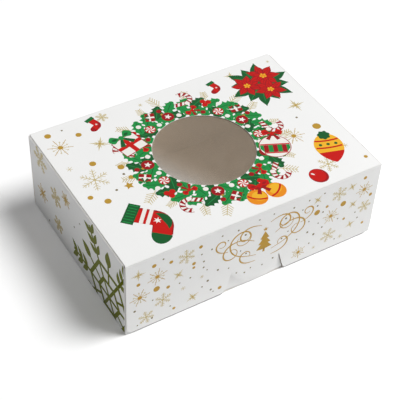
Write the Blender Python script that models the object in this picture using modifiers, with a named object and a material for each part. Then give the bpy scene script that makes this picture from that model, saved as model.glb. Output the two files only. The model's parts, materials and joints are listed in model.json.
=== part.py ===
"""A cookie carton of creased paperboard, closed, with a round film window in its hinged lid.

The carton stands on z = 0, centred on x = 0 and y = 0, with its front towards -y.
Every panel is a piece of its own, and every moving panel turns about the crease that carries it.
All lengths are in metres.
"""

import math

import bmesh
import bpy
from mathutils import Matrix, Vector

# Outside of the closed carton
BOX_LENGTH = 0.210
BOX_DEPTH = 0.150
BOX_HEIGHT = 0.070

# Board, folds and fits
BOARD = 0.0005
CREASE_INNER_RADIUS = 0.0003
FIT = 0.0003
CUT_OVERRUN = 0.002
SEAM_OVERLAP = 0.002

# Lid window and its film
WINDOW_DIAMETER = 0.076
FILM_GLUE_MARGIN = 0.009
FILM_THICKNESS = 0.0001
FILM_CORNER_RADIUS = 0.004

# Front flap of the lid
FLAP_SIDE_INSET = 0.0006
FLAP_FLOOR_GAP = 0.0008
FLAP_CORNER_RADIUS = 0.0065
FLAP_SLIT_CORNER_RADIUS = 0.003

# Locking tongue, cut out of the front flap
TONGUE_TOP_HALF_WIDTH = 0.0201
TONGUE_BOTTOM_HALF_WIDTH = 0.0254
TONGUE_TOP_HEIGHT = 0.0193
TONGUE_BOTTOM_HEIGHT = 0.0012
TONGUE_CORNER_RADIUS = 0.003
TONGUE_FOLD_MIDDLE_HEIGHT = 0.0066
TONGUE_FOLD_END_DROP = 0.0006
TONGUE_LEAN_SHARE = 0.25
SLIT_WIDTH = 0.0004

# Slot in the front wall that takes the tongue
SLOT_CLEARANCE = 0.001
SLOT_CORNER_RADIUS = 0.002

# Tray walls and their glue tabs
SIDE_WALL_DROP = 0.0003
WALL_CORNER_RADIUS = 0.001
TAB_REACH = 0.022
TAB_END_CLEARANCE = 0.0015
TAB_TAPER = 0.004
TAB_CORNER_RADIUS = 0.003
BASE_CORNER_RADIUS = 0.001

# Dust flaps of the lid
DUST_FLAP_DEPTH = 0.050
DUST_FLAP_END_GAP = 0.0005
DUST_FLAP_TAPER = 0.003
DUST_FLAP_CORNER_RADIUS = 0.008
DUST_FLAP_HEEL_RADIUS = 0.001

# Facets
ARC_STEPS = 5
BEAD_SIDES = 16
WINDOW_SIDES = 96
TONGUE_COLUMNS = 36
TONGUE_FLAT_ROW_COUNT = 2
TONGUE_BENT_ROW_COUNT = 4
SMOOTH_LIMIT = math.radians(35)
WELD = 0.000001
GRID_DIGITS = 7

# Places that follow from the sizes above
HALF_LENGTH = BOX_LENGTH / 2
HALF_DEPTH = BOX_DEPTH / 2
BEAD_RADIUS = BOARD
BEAD_CLEARANCE = BEAD_RADIUS + FIT
CREASE_OUTER_RADIUS = CREASE_INNER_RADIUS + BOARD

LID_UNDERSIDE = BOX_HEIGHT - BOARD
HINGE_HEIGHT = BOX_HEIGHT - BEAD_RADIUS
LID_HINGE_Y = HALF_DEPTH - BEAD_RADIUS
FLAP_HINGE_Y = -HALF_DEPTH + BEAD_RADIUS
DUST_HINGE_X = HALF_LENGTH - BOARD - FIT - BEAD_RADIUS
HANGING_TOP = HINGE_HEIGHT - BEAD_CLEARANCE
LID_BACK_EDGE = LID_HINGE_Y - BEAD_CLEARANCE

FLAP_OUTER_Y = -HALF_DEPTH
FRONT_WALL_Y = FLAP_OUTER_Y + BOARD + FIT
BACK_WALL_Y = HALF_DEPTH
TAB_FRONT_Y = FRONT_WALL_Y + BOARD + FIT
TAB_BACK_Y = BACK_WALL_Y - BOARD - FIT
SIDE_FRONT_FOLD_Y = TAB_FRONT_Y + CREASE_OUTER_RADIUS
SIDE_BACK_FOLD_Y = TAB_BACK_Y - CREASE_OUTER_RADIUS
SIDE_FOLD_X = HALF_LENGTH - CREASE_OUTER_RADIUS

BASE_HALF_LENGTH = SIDE_FOLD_X - FIT
BASE_FRONT_Y = FRONT_WALL_Y + CREASE_OUTER_RADIUS + FIT
BASE_BACK_Y = BACK_WALL_Y - CREASE_OUTER_RADIUS - FIT

TONGUE_HINGE_HEIGHT = TONGUE_TOP_HEIGHT + FIT / 2
TONGUE_HINGE_Y = FLAP_OUTER_Y + BOARD / 2

# How an outline's own x, y and thickness lie in the carton
LYING = Matrix.Identity(4)
FACING_FRONT = Matrix.Rotation(math.pi / 2, 4, "X")
FACING_SIDE = Matrix(((0, 0, 1, 0), (1, 0, 0, 0), (0, 1, 0, 0), (0, 0, 0, 1)))

# Finishes: colour, roughness, metallic value and opacity
WHITE_BOARD = ((0.86, 0.86, 0.85), 0.45, 0.0, 1.0)
GREY_BOARD = ((0.62, 0.57, 0.50), 0.75, 0.0, 1.0)
CLEAR_FILM = ((0.95, 0.97, 0.98), 0.06, 0.0, 0.22)


def clear_scene():
    """Remove every object, mesh, curve and material that the file opened with."""
    for obj in list(bpy.data.objects):
        bpy.data.objects.remove(obj, do_unlink=True)
    for block in (bpy.data.meshes, bpy.data.curves, bpy.data.materials):
        for item in list(block):
            block.remove(item)


def new_collection(name):
    collection = bpy.data.collections.new(name)
    bpy.context.scene.collection.children.link(collection)
    return collection


def arc(centre, radius, start, end, steps=ARC_STEPS):
    """Points of a round stretch, between two angles in degrees."""
    points = []
    for step in range(steps + 1):
        angle = math.radians(start + (end - start) * step / steps)
        points.append((centre[0] + radius * math.cos(angle), centre[1] + radius * math.sin(angle)))
    return points


def rounded(corners):
    """A closed outline through corners of x, y and radius, each corner a true arc."""
    points = []
    for index, (x, y, radius) in enumerate(corners):
        corner = Vector((x, y))
        if not radius:
            points.append((x, y))
            continue
        before = (Vector(corners[index - 1][:2]) - corner).normalized()
        after = (Vector(corners[(index + 1) % len(corners)][:2]) - corner).normalized()
        half = before.angle(after) / 2
        centre = corner + (before + after).normalized() * (radius / math.sin(half))
        first = corner + before * (radius / math.tan(half)) - centre
        last = corner + after * (radius / math.tan(half)) - centre
        turn = first.angle_signed(last)
        for step in range(ARC_STEPS + 1):
            spoke = Matrix.Rotation(-turn * step / ARC_STEPS, 2) @ first
            points.append(tuple(centre + spoke))
    return points


def slab(name, outlines, facing, low, high, collection):
    """A solid of filled outlines, from low to high along the direction that they face."""
    curve = bpy.data.curves.new(name, "CURVE")
    curve.dimensions = "2D"
    curve.fill_mode = "BOTH"
    curve.extrude = (high - low) / 2
    for outline in outlines:
        spline = curve.splines.new("POLY")
        spline.points.add(len(outline) - 1)
        spline.use_cyclic_u = True
        for point, (x, y) in zip(spline.points, outline):
            point.co = (x, y, 0, 1)
    guide = bpy.data.objects.new(name + "_outline", curve)
    guide.matrix_world = facing @ Matrix.Translation((0, 0, (low + high) / 2))
    collection.objects.link(guide)
    bpy.context.view_layer.update()
    graph = bpy.context.evaluated_depsgraph_get()
    mesh = bpy.data.meshes.new_from_object(guide.evaluated_get(graph))
    mesh.transform(guide.matrix_world)
    bpy.data.objects.remove(guide)
    bpy.data.curves.remove(curve)
    return meshed(name, mesh, collection)


def meshed(name, mesh, collection):
    """An object of a mesh with its caps welded, its faces out and its points on a fine common grid.

    The grid makes faces that share a level share it exactly, which a union needs.
    """
    body = bmesh.new()
    body.from_mesh(mesh)
    bmesh.ops.remove_doubles(body, verts=body.verts, dist=WELD)
    for vertex in body.verts:
        vertex.co = [round(value, GRID_DIGITS) for value in vertex.co]
    bmesh.ops.recalc_face_normals(body, faces=body.faces)
    body.to_mesh(mesh)
    body.free()
    mesh.name = name
    mesh.shade_smooth()
    mesh.set_sharp_from_angle(angle=SMOOTH_LIMIT)
    obj = bpy.data.objects.new(name, mesh)
    collection.objects.link(obj)
    return obj


def bead(name, start, end, collection):
    """The rounded rib of board along a moving crease. Its flats lie in the faces of both panels."""
    start, end = Vector(start), Vector(end)
    corner_radius = BEAD_RADIUS / math.cos(math.pi / BEAD_SIDES)
    body = bmesh.new()
    bmesh.ops.create_cone(
        body,
        cap_ends=True,
        segments=BEAD_SIDES,
        radius1=corner_radius,
        radius2=corner_radius,
        depth=(end - start).length,
    )
    flats_level = Matrix.Rotation(math.pi / BEAD_SIDES, 4, "Z")
    turn = (end - start).to_track_quat("Z", "Y").to_matrix().to_4x4() @ flats_level
    bmesh.ops.transform(body, matrix=Matrix.Translation((start + end) / 2) @ turn, verts=body.verts)
    mesh = bpy.data.meshes.new(name)
    body.to_mesh(mesh)
    body.free()
    return meshed(name, mesh, collection)


def combine(target, others, operation):
    """Live Booleans of the target with helpers that show as wires only."""
    for other in others:
        other.hide_render = True
        other.display_type = "WIRE"
        modifier = target.modifiers.new(other.name, "BOOLEAN")
        modifier.operation = operation
        modifier.solver = "EXACT"
        modifier.object = other


def finish(obj, look):
    """A material of the piece's own, as a Principled BSDF."""
    colour, roughness, metallic, opacity = look
    material = bpy.data.materials.new(obj.name)
    material.use_nodes = True
    shader = material.node_tree.nodes["Principled BSDF"]
    shader.inputs["Base Color"].default_value = (*colour, 1)
    shader.inputs["Roughness"].default_value = roughness
    shader.inputs["Metallic"].default_value = metallic
    shader.inputs["Alpha"].default_value = opacity
    material.diffuse_color = (*colour, opacity)
    obj.data.materials.clear()
    obj.data.materials.append(material)


def crease_marker(name, place, collection, carrier=None):
    """An empty on a crease, which the pieces that turn about it hang on."""
    marker = bpy.data.objects.new(name, None)
    marker.empty_display_type = "ARROWS"
    marker.empty_display_size = BEAD_RADIUS
    marker.location = place
    collection.objects.link(marker)
    if carrier:
        hang(marker, carrier)
    return marker


def hang(child, carrier):
    """Parent a piece to its carrier without moving it."""
    bpy.context.view_layer.update()
    child.parent = carrier
    child.matrix_parent_inverse = carrier.matrix_world.inverted()


def wall_section(outer, inward, top):
    """Section of a wall with its bottom crease: outer face, direction inward (1 or -1) and top."""
    centre = (outer + inward * CREASE_OUTER_RADIUS, CREASE_OUTER_RADIUS)
    towards_wall = 180 if inward > 0 else 0
    towards_base = 270 if inward > 0 else -90
    outer_bend = arc(centre, CREASE_OUTER_RADIUS, towards_wall, towards_base)
    inner_bend = arc(centre, CREASE_INNER_RADIUS, towards_base, towards_wall)
    return [(outer, top)] + outer_bend + inner_bend + [(outer + inward * BOARD, top)]


def fold_section(fold_x, fold_y, inward_x, inward_y):
    """Plan of an upright corner crease, with a straight end that runs into its side wall."""
    towards_wall = 180 if inward_x > 0 else 0
    towards_tab = -90 if inward_y > 0 else 90
    if inward_x > 0:
        towards_tab = towards_tab % 360
    outer_bend = arc((fold_x, fold_y), CREASE_OUTER_RADIUS, towards_wall, towards_tab)
    inner_bend = arc((fold_x, fold_y), CREASE_INNER_RADIUS, towards_tab, towards_wall)
    into_wall = fold_y + inward_y * SEAM_OVERLAP
    outer_end = (fold_x - inward_x * CREASE_OUTER_RADIUS, into_wall)
    inner_end = (fold_x - inward_x * CREASE_INNER_RADIUS, into_wall)
    return [outer_end] + outer_bend + inner_bend + [inner_end]


def slot_half_width(height, clearance):
    """Half the width of the tongue's outline at a height, with clearance added."""
    rise = TONGUE_TOP_HEIGHT - TONGUE_BOTTOM_HEIGHT
    down = (TONGUE_TOP_HEIGHT - height) / rise
    widening = TONGUE_BOTTOM_HALF_WIDTH - TONGUE_TOP_HALF_WIDTH
    return TONGUE_TOP_HALF_WIDTH + clearance + widening * down


def fold_height(across):
    """Height of the tongue's curved fold, for a place from -1 to 1 across the tongue."""
    end = TONGUE_TOP_HEIGHT - TONGUE_FOLD_END_DROP
    return TONGUE_FOLD_MIDDLE_HEIGHT + (end - TONGUE_FOLD_MIDDLE_HEIGHT) * across**2


def tongue_bottom(across):
    """Height of the tongue's lower edge, which rises in an arc at both corners."""
    from_corner = (1 - abs(across)) * TONGUE_BOTTOM_HALF_WIDTH
    into_corner = max(TONGUE_CORNER_RADIUS - from_corner, 0)
    rise = TONGUE_CORNER_RADIUS - math.sqrt(TONGUE_CORNER_RADIUS**2 - into_corner**2)
    return TONGUE_BOTTOM_HEIGHT + rise


def tongue_place(across, row):
    """A point of the tongue's outer face: flat above the curved fold, leaning in below it."""
    fold = fold_height(across)
    if row <= TONGUE_FLAT_ROW_COUNT:
        share = row / TONGUE_FLAT_ROW_COUNT
        height = TONGUE_TOP_HEIGHT + (fold - TONGUE_TOP_HEIGHT) * share
    else:
        share = (row - TONGUE_FLAT_ROW_COUNT) / TONGUE_BENT_ROW_COUNT
        height = fold + (tongue_bottom(across) - fold) * share
    lean = TONGUE_LEAN_SHARE * max(fold - height, 0)
    return (across * slot_half_width(height, 0), FLAP_OUTER_Y + lean, height)


def make_base_panel(parts):
    corners = [
        (-BASE_HALF_LENGTH, BASE_FRONT_Y, BASE_CORNER_RADIUS),
        (BASE_HALF_LENGTH, BASE_FRONT_Y, BASE_CORNER_RADIUS),
        (BASE_HALF_LENGTH, BASE_BACK_Y, BASE_CORNER_RADIUS),
        (-BASE_HALF_LENGTH, BASE_BACK_Y, BASE_CORNER_RADIUS),
    ]
    base = slab("base_panel", [rounded(corners)], LYING, 0, BOARD, parts)
    finish(base, GREY_BOARD)
    return base


def upright_plate(name, face, inward, top, collection):
    """A wall plate across the carton's full length, above its bottom crease."""
    corners = [
        (-HALF_LENGTH, CREASE_OUTER_RADIUS, 0),
        (HALF_LENGTH, CREASE_OUTER_RADIUS, 0),
        (HALF_LENGTH, top, WALL_CORNER_RADIUS),
        (-HALF_LENGTH, top, WALL_CORNER_RADIUS),
    ]
    low, high = sorted((-face, -(face + inward * BOARD)))
    return slab(name, [rounded(corners)], FACING_FRONT, low, high, collection)


def make_front_wall(parts, cutters):
    """The front wall with its bottom crease, and the slot that the tongue swings through."""
    wall = upright_plate("front_wall", FRONT_WALL_Y, 1, HANGING_TOP, parts)
    section = wall_section(FRONT_WALL_Y, 1, CREASE_OUTER_RADIUS + SEAM_OVERLAP)
    crease = slab("front_crease", [section], FACING_SIDE, -BASE_HALF_LENGTH, BASE_HALF_LENGTH, cutters)
    slot_top = TONGUE_HINGE_HEIGHT + SLOT_CLEARANCE
    clearance = SLIT_WIDTH + SLOT_CLEARANCE
    slot_corners = [
        (-slot_half_width(-CUT_OVERRUN, clearance), -CUT_OVERRUN, 0),
        (slot_half_width(-CUT_OVERRUN, clearance), -CUT_OVERRUN, 0),
        (slot_half_width(slot_top, clearance), slot_top, SLOT_CORNER_RADIUS),
        (-slot_half_width(slot_top, clearance), slot_top, SLOT_CORNER_RADIUS),
    ]
    low = -(FRONT_WALL_Y + CREASE_OUTER_RADIUS + CUT_OVERRUN)
    high = -(FRONT_WALL_Y - CUT_OVERRUN)
    slot = slab("tongue_slot", [rounded(slot_corners)], FACING_FRONT, low, high, cutters)
    combine(wall, [crease], "UNION")
    combine(wall, [slot], "DIFFERENCE")
    finish(wall, WHITE_BOARD)
    return wall


def make_back_wall(parts, cutters):
    """The back wall with its bottom crease, and the bead that the lid turns about on its top."""
    wall = upright_plate("back_wall", BACK_WALL_Y, -1, HINGE_HEIGHT, parts)
    section = wall_section(BACK_WALL_Y, -1, CREASE_OUTER_RADIUS + SEAM_OVERLAP)
    crease = slab("back_crease", [section], FACING_SIDE, -BASE_HALF_LENGTH, BASE_HALF_LENGTH, cutters)
    left = (-DUST_HINGE_X, LID_HINGE_Y, HINGE_HEIGHT)
    right = (DUST_HINGE_X, LID_HINGE_Y, HINGE_HEIGHT)
    combine(wall, [crease, bead("lid_bead", left, right, cutters)], "UNION")
    finish(wall, WHITE_BOARD)
    return wall


def make_side_wall(name, side, parts, cutters):
    """A side wall (side -1 left, 1 right) with its bottom crease and its two corner creases."""
    outer = side * HALF_LENGTH
    section = wall_section(outer, -side, BOX_HEIGHT - SIDE_WALL_DROP)
    wall = slab(name, [section], FACING_FRONT, -SIDE_BACK_FOLD_Y, -SIDE_FRONT_FOLD_Y, parts)
    low = CREASE_OUTER_RADIUS + FIT
    folds = []
    for end, fold_y, inward_y in (("front", SIDE_FRONT_FOLD_Y, 1), ("back", SIDE_BACK_FOLD_Y, -1)):
        plan = fold_section(side * SIDE_FOLD_X, fold_y, -side, inward_y)
        folds.append(slab(f"{name}_{end}_fold", [plan], LYING, low, HANGING_TOP, cutters))
    combine(wall, folds, "UNION")
    finish(wall, WHITE_BOARD)
    return wall


def make_glue_tab(name, side, outer, inward, parts):
    """A corner tab, tapered towards its free end, against the inside of the front or back wall."""
    root = BASE_HALF_LENGTH
    tip = BASE_HALF_LENGTH - TAB_REACH
    low = CREASE_OUTER_RADIUS + TAB_END_CLEARANCE
    high = HANGING_TOP - TAB_END_CLEARANCE
    corners = [
        (side * root, low, 0),
        (side * tip, low + TAB_TAPER, TAB_CORNER_RADIUS),
        (side * tip, high - TAB_TAPER, TAB_CORNER_RADIUS),
        (side * root, high, 0),
    ]
    near, far = sorted((-outer, -(outer + inward * BOARD)))
    tab = slab(name, [rounded(corners)], FACING_FRONT, near, far, parts)
    finish(tab, GREY_BOARD)
    return tab


def make_lid_panel(parts, cutters):
    """The lid with its round window, and beads along the creases of its three flaps."""
    edge = [
        (-DUST_HINGE_X, FLAP_HINGE_Y, 0),
        (DUST_HINGE_X, FLAP_HINGE_Y, 0),
        (DUST_HINGE_X, LID_BACK_EDGE, WALL_CORNER_RADIUS),
        (-DUST_HINGE_X, LID_BACK_EDGE, WALL_CORNER_RADIUS),
    ]
    window = arc((0, 0), WINDOW_DIAMETER / 2, 0, 360, WINDOW_SIDES)[:-1]
    lid = slab("lid_panel", [rounded(edge), window], LYING, LID_UNDERSIDE, BOX_HEIGHT, parts)
    flap_half = HALF_LENGTH - FLAP_SIDE_INSET
    front_left = (-flap_half, FLAP_HINGE_Y, HINGE_HEIGHT)
    front_right = (flap_half, FLAP_HINGE_Y, HINGE_HEIGHT)
    beads = [bead("front_flap_bead", front_left, front_right, cutters)]
    for word, side in (("left", -1), ("right", 1)):
        front = (side * DUST_HINGE_X, FLAP_HINGE_Y, HINGE_HEIGHT)
        back = (side * DUST_HINGE_X, dust_flap_back(), HINGE_HEIGHT)
        beads.append(bead(f"{word}_dust_flap_bead", front, back, cutters))
    combine(lid, beads, "UNION")
    finish(lid, WHITE_BOARD)
    return lid


def make_window_film(parts):
    """The clear film, glued under the lid all round its window."""
    half = WINDOW_DIAMETER / 2 + FILM_GLUE_MARGIN
    top = LID_UNDERSIDE - FIT
    corners = [
        (-half, -half, FILM_CORNER_RADIUS),
        (half, -half, FILM_CORNER_RADIUS),
        (half, half, FILM_CORNER_RADIUS),
        (-half, half, FILM_CORNER_RADIUS),
    ]
    film = slab("window_film", [rounded(corners)], LYING, top - FILM_THICKNESS, top, parts)
    finish(film, CLEAR_FILM)
    return film


def make_front_flap(parts):
    """The flap that hangs outside the front wall, cut out round the tongue."""
    half = HALF_LENGTH - FLAP_SIDE_INSET
    low = FLAP_FLOOR_GAP
    notch_top = TONGUE_TOP_HEIGHT + FIT
    corners = [
        (-half, HANGING_TOP, 0),
        (-half, low, FLAP_CORNER_RADIUS),
        (-slot_half_width(low, SLIT_WIDTH), low, FLAP_SLIT_CORNER_RADIUS),
        (-slot_half_width(notch_top, SLIT_WIDTH), notch_top, 0),
        (slot_half_width(notch_top, SLIT_WIDTH), notch_top, 0),
        (slot_half_width(low, SLIT_WIDTH), low, FLAP_SLIT_CORNER_RADIUS),
        (half, low, FLAP_CORNER_RADIUS),
        (half, HANGING_TOP, 0),
    ]
    flap = slab("front_flap", [rounded(corners)], FACING_FRONT, -FLAP_OUTER_Y - BOARD, -FLAP_OUTER_Y, parts)
    finish(flap, WHITE_BOARD)
    return flap


def make_locking_tongue(parts):
    """The push-in tongue: a grid drawn onto its curved fold, then given the board's thickness."""
    rows = TONGUE_FLAT_ROW_COUNT + TONGUE_BENT_ROW_COUNT
    body = bmesh.new()
    bmesh.ops.create_grid(body, x_segments=TONGUE_COLUMNS, y_segments=rows, size=1)
    for vertex in body.verts:
        row = rows * (1 - vertex.co.y) / 2
        vertex.co = tongue_place(vertex.co.x, row)
    mesh = bpy.data.meshes.new("locking_tongue")
    body.to_mesh(mesh)
    body.free()
    tongue = bpy.data.objects.new("locking_tongue", mesh)
    parts.objects.link(tongue)
    shell = tongue.modifiers.new("board", "SOLIDIFY")
    shell.thickness = BOARD
    shell.offset = -1
    finish(tongue, WHITE_BOARD)
    return tongue


def dust_flap_back():
    """Where a dust flap and its crease end, just ahead of the back wall's glue tabs."""
    return TAB_BACK_Y - BOARD - FIT - DUST_FLAP_END_GAP


def dust_flap_front(drop):
    """How far forward a dust flap may reach, this far below the hinge, and still swing out."""
    level_front = TAB_FRONT_Y + BOARD + FIT + DUST_FLAP_END_GAP
    return LID_HINGE_Y - math.sqrt((LID_HINGE_Y - level_front) ** 2 - drop**2)


def make_dust_flap(name, side, parts):
    """A dust flap (side -1 left, 1 right), cut back in front so that it clears the tray's corner."""
    top = HANGING_TOP
    low = HANGING_TOP - DUST_FLAP_DEPTH
    front_top = dust_flap_front(HINGE_HEIGHT - top)
    front_low = dust_flap_front(HINGE_HEIGHT - low) + DUST_FLAP_TAPER
    back_low = dust_flap_back() - (front_low - front_top)
    corners = [
        (front_top, top, DUST_FLAP_HEEL_RADIUS),
        (front_low, low, DUST_FLAP_CORNER_RADIUS),
        (back_low, low, DUST_FLAP_CORNER_RADIUS),
        (dust_flap_back(), top, DUST_FLAP_HEEL_RADIUS),
    ]
    near, far = sorted((side * DUST_HINGE_X, side * (DUST_HINGE_X + BOARD)))
    flap = slab(name, [rounded(corners)], FACING_SIDE, near, far, parts)
    finish(flap, GREY_BOARD)
    return flap


def make_tray(parts, cutters):
    """The open tray: base, four walls and the tabs that close its corners."""
    make_base_panel(parts)
    make_front_wall(parts, cutters)
    make_back_wall(parts, cutters)
    for word, side in (("left", -1), ("right", 1)):
        make_side_wall(f"{word}_wall", side, parts, cutters)
        make_glue_tab(f"glue_tab_front_{word}", side, TAB_FRONT_Y, 1, parts)
        make_glue_tab(f"glue_tab_back_{word}", side, TAB_BACK_Y, -1, parts)


def make_lid(parts, cutters):
    """The lid and all that hangs on it, each piece on the marker of its own crease."""
    lid_crease = crease_marker("lid_crease", (0, LID_HINGE_Y, HINGE_HEIGHT), parts)
    hang(make_lid_panel(parts, cutters), lid_crease)
    hang(make_window_film(parts), lid_crease)
    flap_place = (0, FLAP_HINGE_Y, HINGE_HEIGHT)
    flap_crease = crease_marker("front_flap_crease", flap_place, parts, lid_crease)
    hang(make_front_flap(parts), flap_crease)
    tongue_place_on_flap = (0, TONGUE_HINGE_Y, TONGUE_HINGE_HEIGHT)
    tongue_crease = crease_marker("tongue_crease", tongue_place_on_flap, parts, flap_crease)
    hang(make_locking_tongue(parts), tongue_crease)
    for word, side in (("left", -1), ("right", 1)):
        place = (side * DUST_HINGE_X, 0, HINGE_HEIGHT)
        crease = crease_marker(f"{word}_dust_flap_crease", place, parts, lid_crease)
        hang(make_dust_flap(f"{word}_dust_flap", side, parts), crease)


def main():
    clear_scene()
    parts = new_collection("cookie_box")
    cutters = new_collection("cutters")
    make_tray(parts, cutters)
    make_lid(parts, cutters)


main()
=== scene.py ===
"""A folding cookie box of printed white board, with a round film window in its hinged lid.

The box stands on z = 0 with its front towards -y. Lengths are in metres, except for the print,
which is drawn in millimetres on each face.
"""

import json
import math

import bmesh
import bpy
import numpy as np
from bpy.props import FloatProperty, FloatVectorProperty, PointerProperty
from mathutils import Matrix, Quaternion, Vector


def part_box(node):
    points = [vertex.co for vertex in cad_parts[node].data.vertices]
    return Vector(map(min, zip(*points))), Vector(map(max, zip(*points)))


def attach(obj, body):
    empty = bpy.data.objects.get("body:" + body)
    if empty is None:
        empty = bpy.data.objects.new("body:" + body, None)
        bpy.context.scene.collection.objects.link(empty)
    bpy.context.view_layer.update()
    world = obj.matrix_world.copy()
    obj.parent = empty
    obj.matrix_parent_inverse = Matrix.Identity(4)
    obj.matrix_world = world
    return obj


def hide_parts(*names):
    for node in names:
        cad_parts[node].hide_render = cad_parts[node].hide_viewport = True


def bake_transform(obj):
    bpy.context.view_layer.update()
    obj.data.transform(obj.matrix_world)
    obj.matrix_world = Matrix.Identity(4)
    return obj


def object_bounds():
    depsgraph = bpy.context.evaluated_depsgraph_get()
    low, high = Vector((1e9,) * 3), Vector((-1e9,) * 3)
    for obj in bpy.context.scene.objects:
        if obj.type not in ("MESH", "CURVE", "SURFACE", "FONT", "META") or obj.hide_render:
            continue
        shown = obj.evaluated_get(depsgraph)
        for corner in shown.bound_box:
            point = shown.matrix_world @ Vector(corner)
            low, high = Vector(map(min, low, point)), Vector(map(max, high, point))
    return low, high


bl_info = {
    "name": "Cookie Box",
    "version": (1, 0, 0),
    "blender": (4, 5, 0),
    "location": "3D View > Sidebar > Cookie Box",
    "description": "Boards, creases, window film, print and studio of a folding cookie box",
    "category": "Object",
}

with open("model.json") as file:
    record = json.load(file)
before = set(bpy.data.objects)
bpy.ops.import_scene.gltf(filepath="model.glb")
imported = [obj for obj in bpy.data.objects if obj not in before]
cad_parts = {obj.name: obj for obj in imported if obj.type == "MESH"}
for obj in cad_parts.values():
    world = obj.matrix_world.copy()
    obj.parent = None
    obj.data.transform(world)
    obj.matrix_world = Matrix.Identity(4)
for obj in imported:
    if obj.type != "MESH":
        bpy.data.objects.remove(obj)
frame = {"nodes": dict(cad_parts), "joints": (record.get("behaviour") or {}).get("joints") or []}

# Places read from the packed box
CAD_LOW, CAD_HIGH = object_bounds()
FLAP_LOW, FLAP_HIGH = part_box("front_flap")
TONGUE_LOW, TONGUE_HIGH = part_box("locking_tongue")
FRONT_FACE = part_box("front_wall")[0].y
SIDE_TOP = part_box("left_wall")[1].z
AXES = {joint["name"]: Vector(joint["pos_m"]) for joint in frame["joints"]}
LID_AXIS = AXES["lid_hinge"]
FLAP_AXIS = AXES["front_flap_hinge"]
TONGUE_AXIS = AXES["tongue_hinge"]
DUST_AXIS = AXES["right_dust_flap_hinge"]

# Thickness of the solids' board, which is also the outer radius of the lid's creases
BOARD = CAD_HIGH.z - LID_AXIS.z

# How far the legs of those creases reach along the boards that they join
LEG = LID_AXIS.z - FLAP_HIGH.z

# How finely the surfaces are drawn: along sections, across boards, and the angle of a sharp edge
ARC_ROWS = 9
STRAIGHT_ROWS = 7
LEG_ROWS = 3
CREASE_COLUMNS = 24
WINDOW_COLUMNS = 240
TONGUE_COLUMNS = 48
THREE_ZONES = (CREASE_COLUMNS, STRAIGHT_ROWS, CREASE_COLUMNS)
QUARTER_TURN = np.linspace(0, math.pi / 2, ARC_ROWS)
SHARP = math.radians(35)

# Millimetres of the print, the levels on which its plates overlap, and the ink of its fine lines
MM = 0.001
LEVELS = 56
FINE = "pale_gold"

# Where a point's x, y and z come from: the two directions of a section, then the sweep
ACROSS_Y = (1, 2, 0)
ACROSS_X = (0, 2, 1)
IN_PLAN = (0, 1, 2)


def srgb(red, green, blue):
    """A colour given in display values from 0 to 255, as the linear values that shaders take."""
    shares = np.array([red, green, blue]) / 255
    return tuple(np.where(shares <= 0.04045, shares / 12.92, ((shares + 0.055) / 1.055) ** 2.4))


def length(name, description, default):
    """A size that can't be negative."""
    return FloatProperty(
        name=name, description=description, default=default, min=0, precision=5, unit="LENGTH"
    )


def colour(name, description, default):
    """A colour without its alpha."""
    return FloatVectorProperty(
        name=name, description=description, default=default, size=3, min=0, max=1, subtype="COLOR"
    )


def position(name, description, default, subtype="TRANSLATION"):
    """A place, or a direction from the origin."""
    return FloatVectorProperty(
        name=name, description=description, default=default, size=3, precision=5, subtype=subtype
    )


class CookieBoxBoard(bpy.types.PropertyGroup):
    """Sizes and colours of the board and the film."""

    print_room: length("Print room", "Depth that the outer faces leave for the print", 0.0001)
    ply: length("Ply", "Thickness of the board", 0.00038)
    fold: length("Fold radius", "Outer radius of the creases of the tray", 0.0008)
    window: length("Window radius", "Radius of the round window in the lid", 0.038)
    flap_corner: length("Flap corner", "Corner radius at the foot of the front flap", 0.0065)
    slit: length("Slit", "Width of the cut beside the tongue", 0.0002)
    slit_corner: length("Slit corner", "Radius where the slits meet the foot of the flap", 0.003)
    tongue_corner: length("Tongue corner", "Corner radius at the foot of the tongue", 0.001)
    tongue_top: length("Tongue top", "Half of the tongue's width at its top", 0.0201)
    tongue_foot: length("Tongue foot", "Half of the tongue's width at its foot", 0.0254)
    tongue_fold: length("Tongue fold", "Height of the middle of the tongue's curved fold", 0.0044)
    tongue_depth: length("Tongue depth", "The depth that the leaning tongue tends to", 0.0014)
    slot_room: length("Slot room", "Clearance of the slot round the tongue", 0.001)
    wall_drop: length("Wall drop", "How far the side walls end below the lid's creases", 0.0003)
    tab_taper: length("Tab taper", "Narrowing of each glue tab at both ends", 0.004)
    tab_corner: length("Tab corner", "Corner radius of the glue tabs", 0.003)
    dust_taper: length("Dust flap taper", "Narrowing of each dust flap at both ends", 0.0121)
    dust_corner: length("Dust flap corner", "Corner radius of the dust flaps", 0.008)
    white: colour("White side", "Clay coated outside of the board", srgb(243, 243, 242))
    # The grey along the creases is partly wear and partly painted shade in the folds.
    wear_and_fold_shade: colour("Worn folds", "The white side where it is creased", srgb(214, 213, 210))
    inside: colour("Inside", "Bare inner side of the board", srgb(244, 233, 218))
    fleck: colour("Flecks", "Fibres in the bare side", srgb(228, 213, 194))
    cut: colour("Cut edge", "Core of the board where it is cut", srgb(242, 240, 237))
    cut_shade: colour("Cut edge shade", "Darker layers of the core", srgb(226, 223, 218))
    film: colour("Film", "Faint veil of the clear film", srgb(250, 228, 202))
    film_haze: colour("Film haze", "The veil where it is hazier", srgb(242, 222, 198))
    # Painted glare: the film's veil takes this colour towards its left and front.
    glare: colour("Glare", "Soft glare at the film's left and front", srgb(226, 218, 208))
    # Painted contact shadow: the grey of the thin line along the foot of the front face, where it
    # rests on the floor.
    foot: colour("Foot", "The foot of the front, soiled where it rests", srgb(124, 121, 120))


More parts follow.
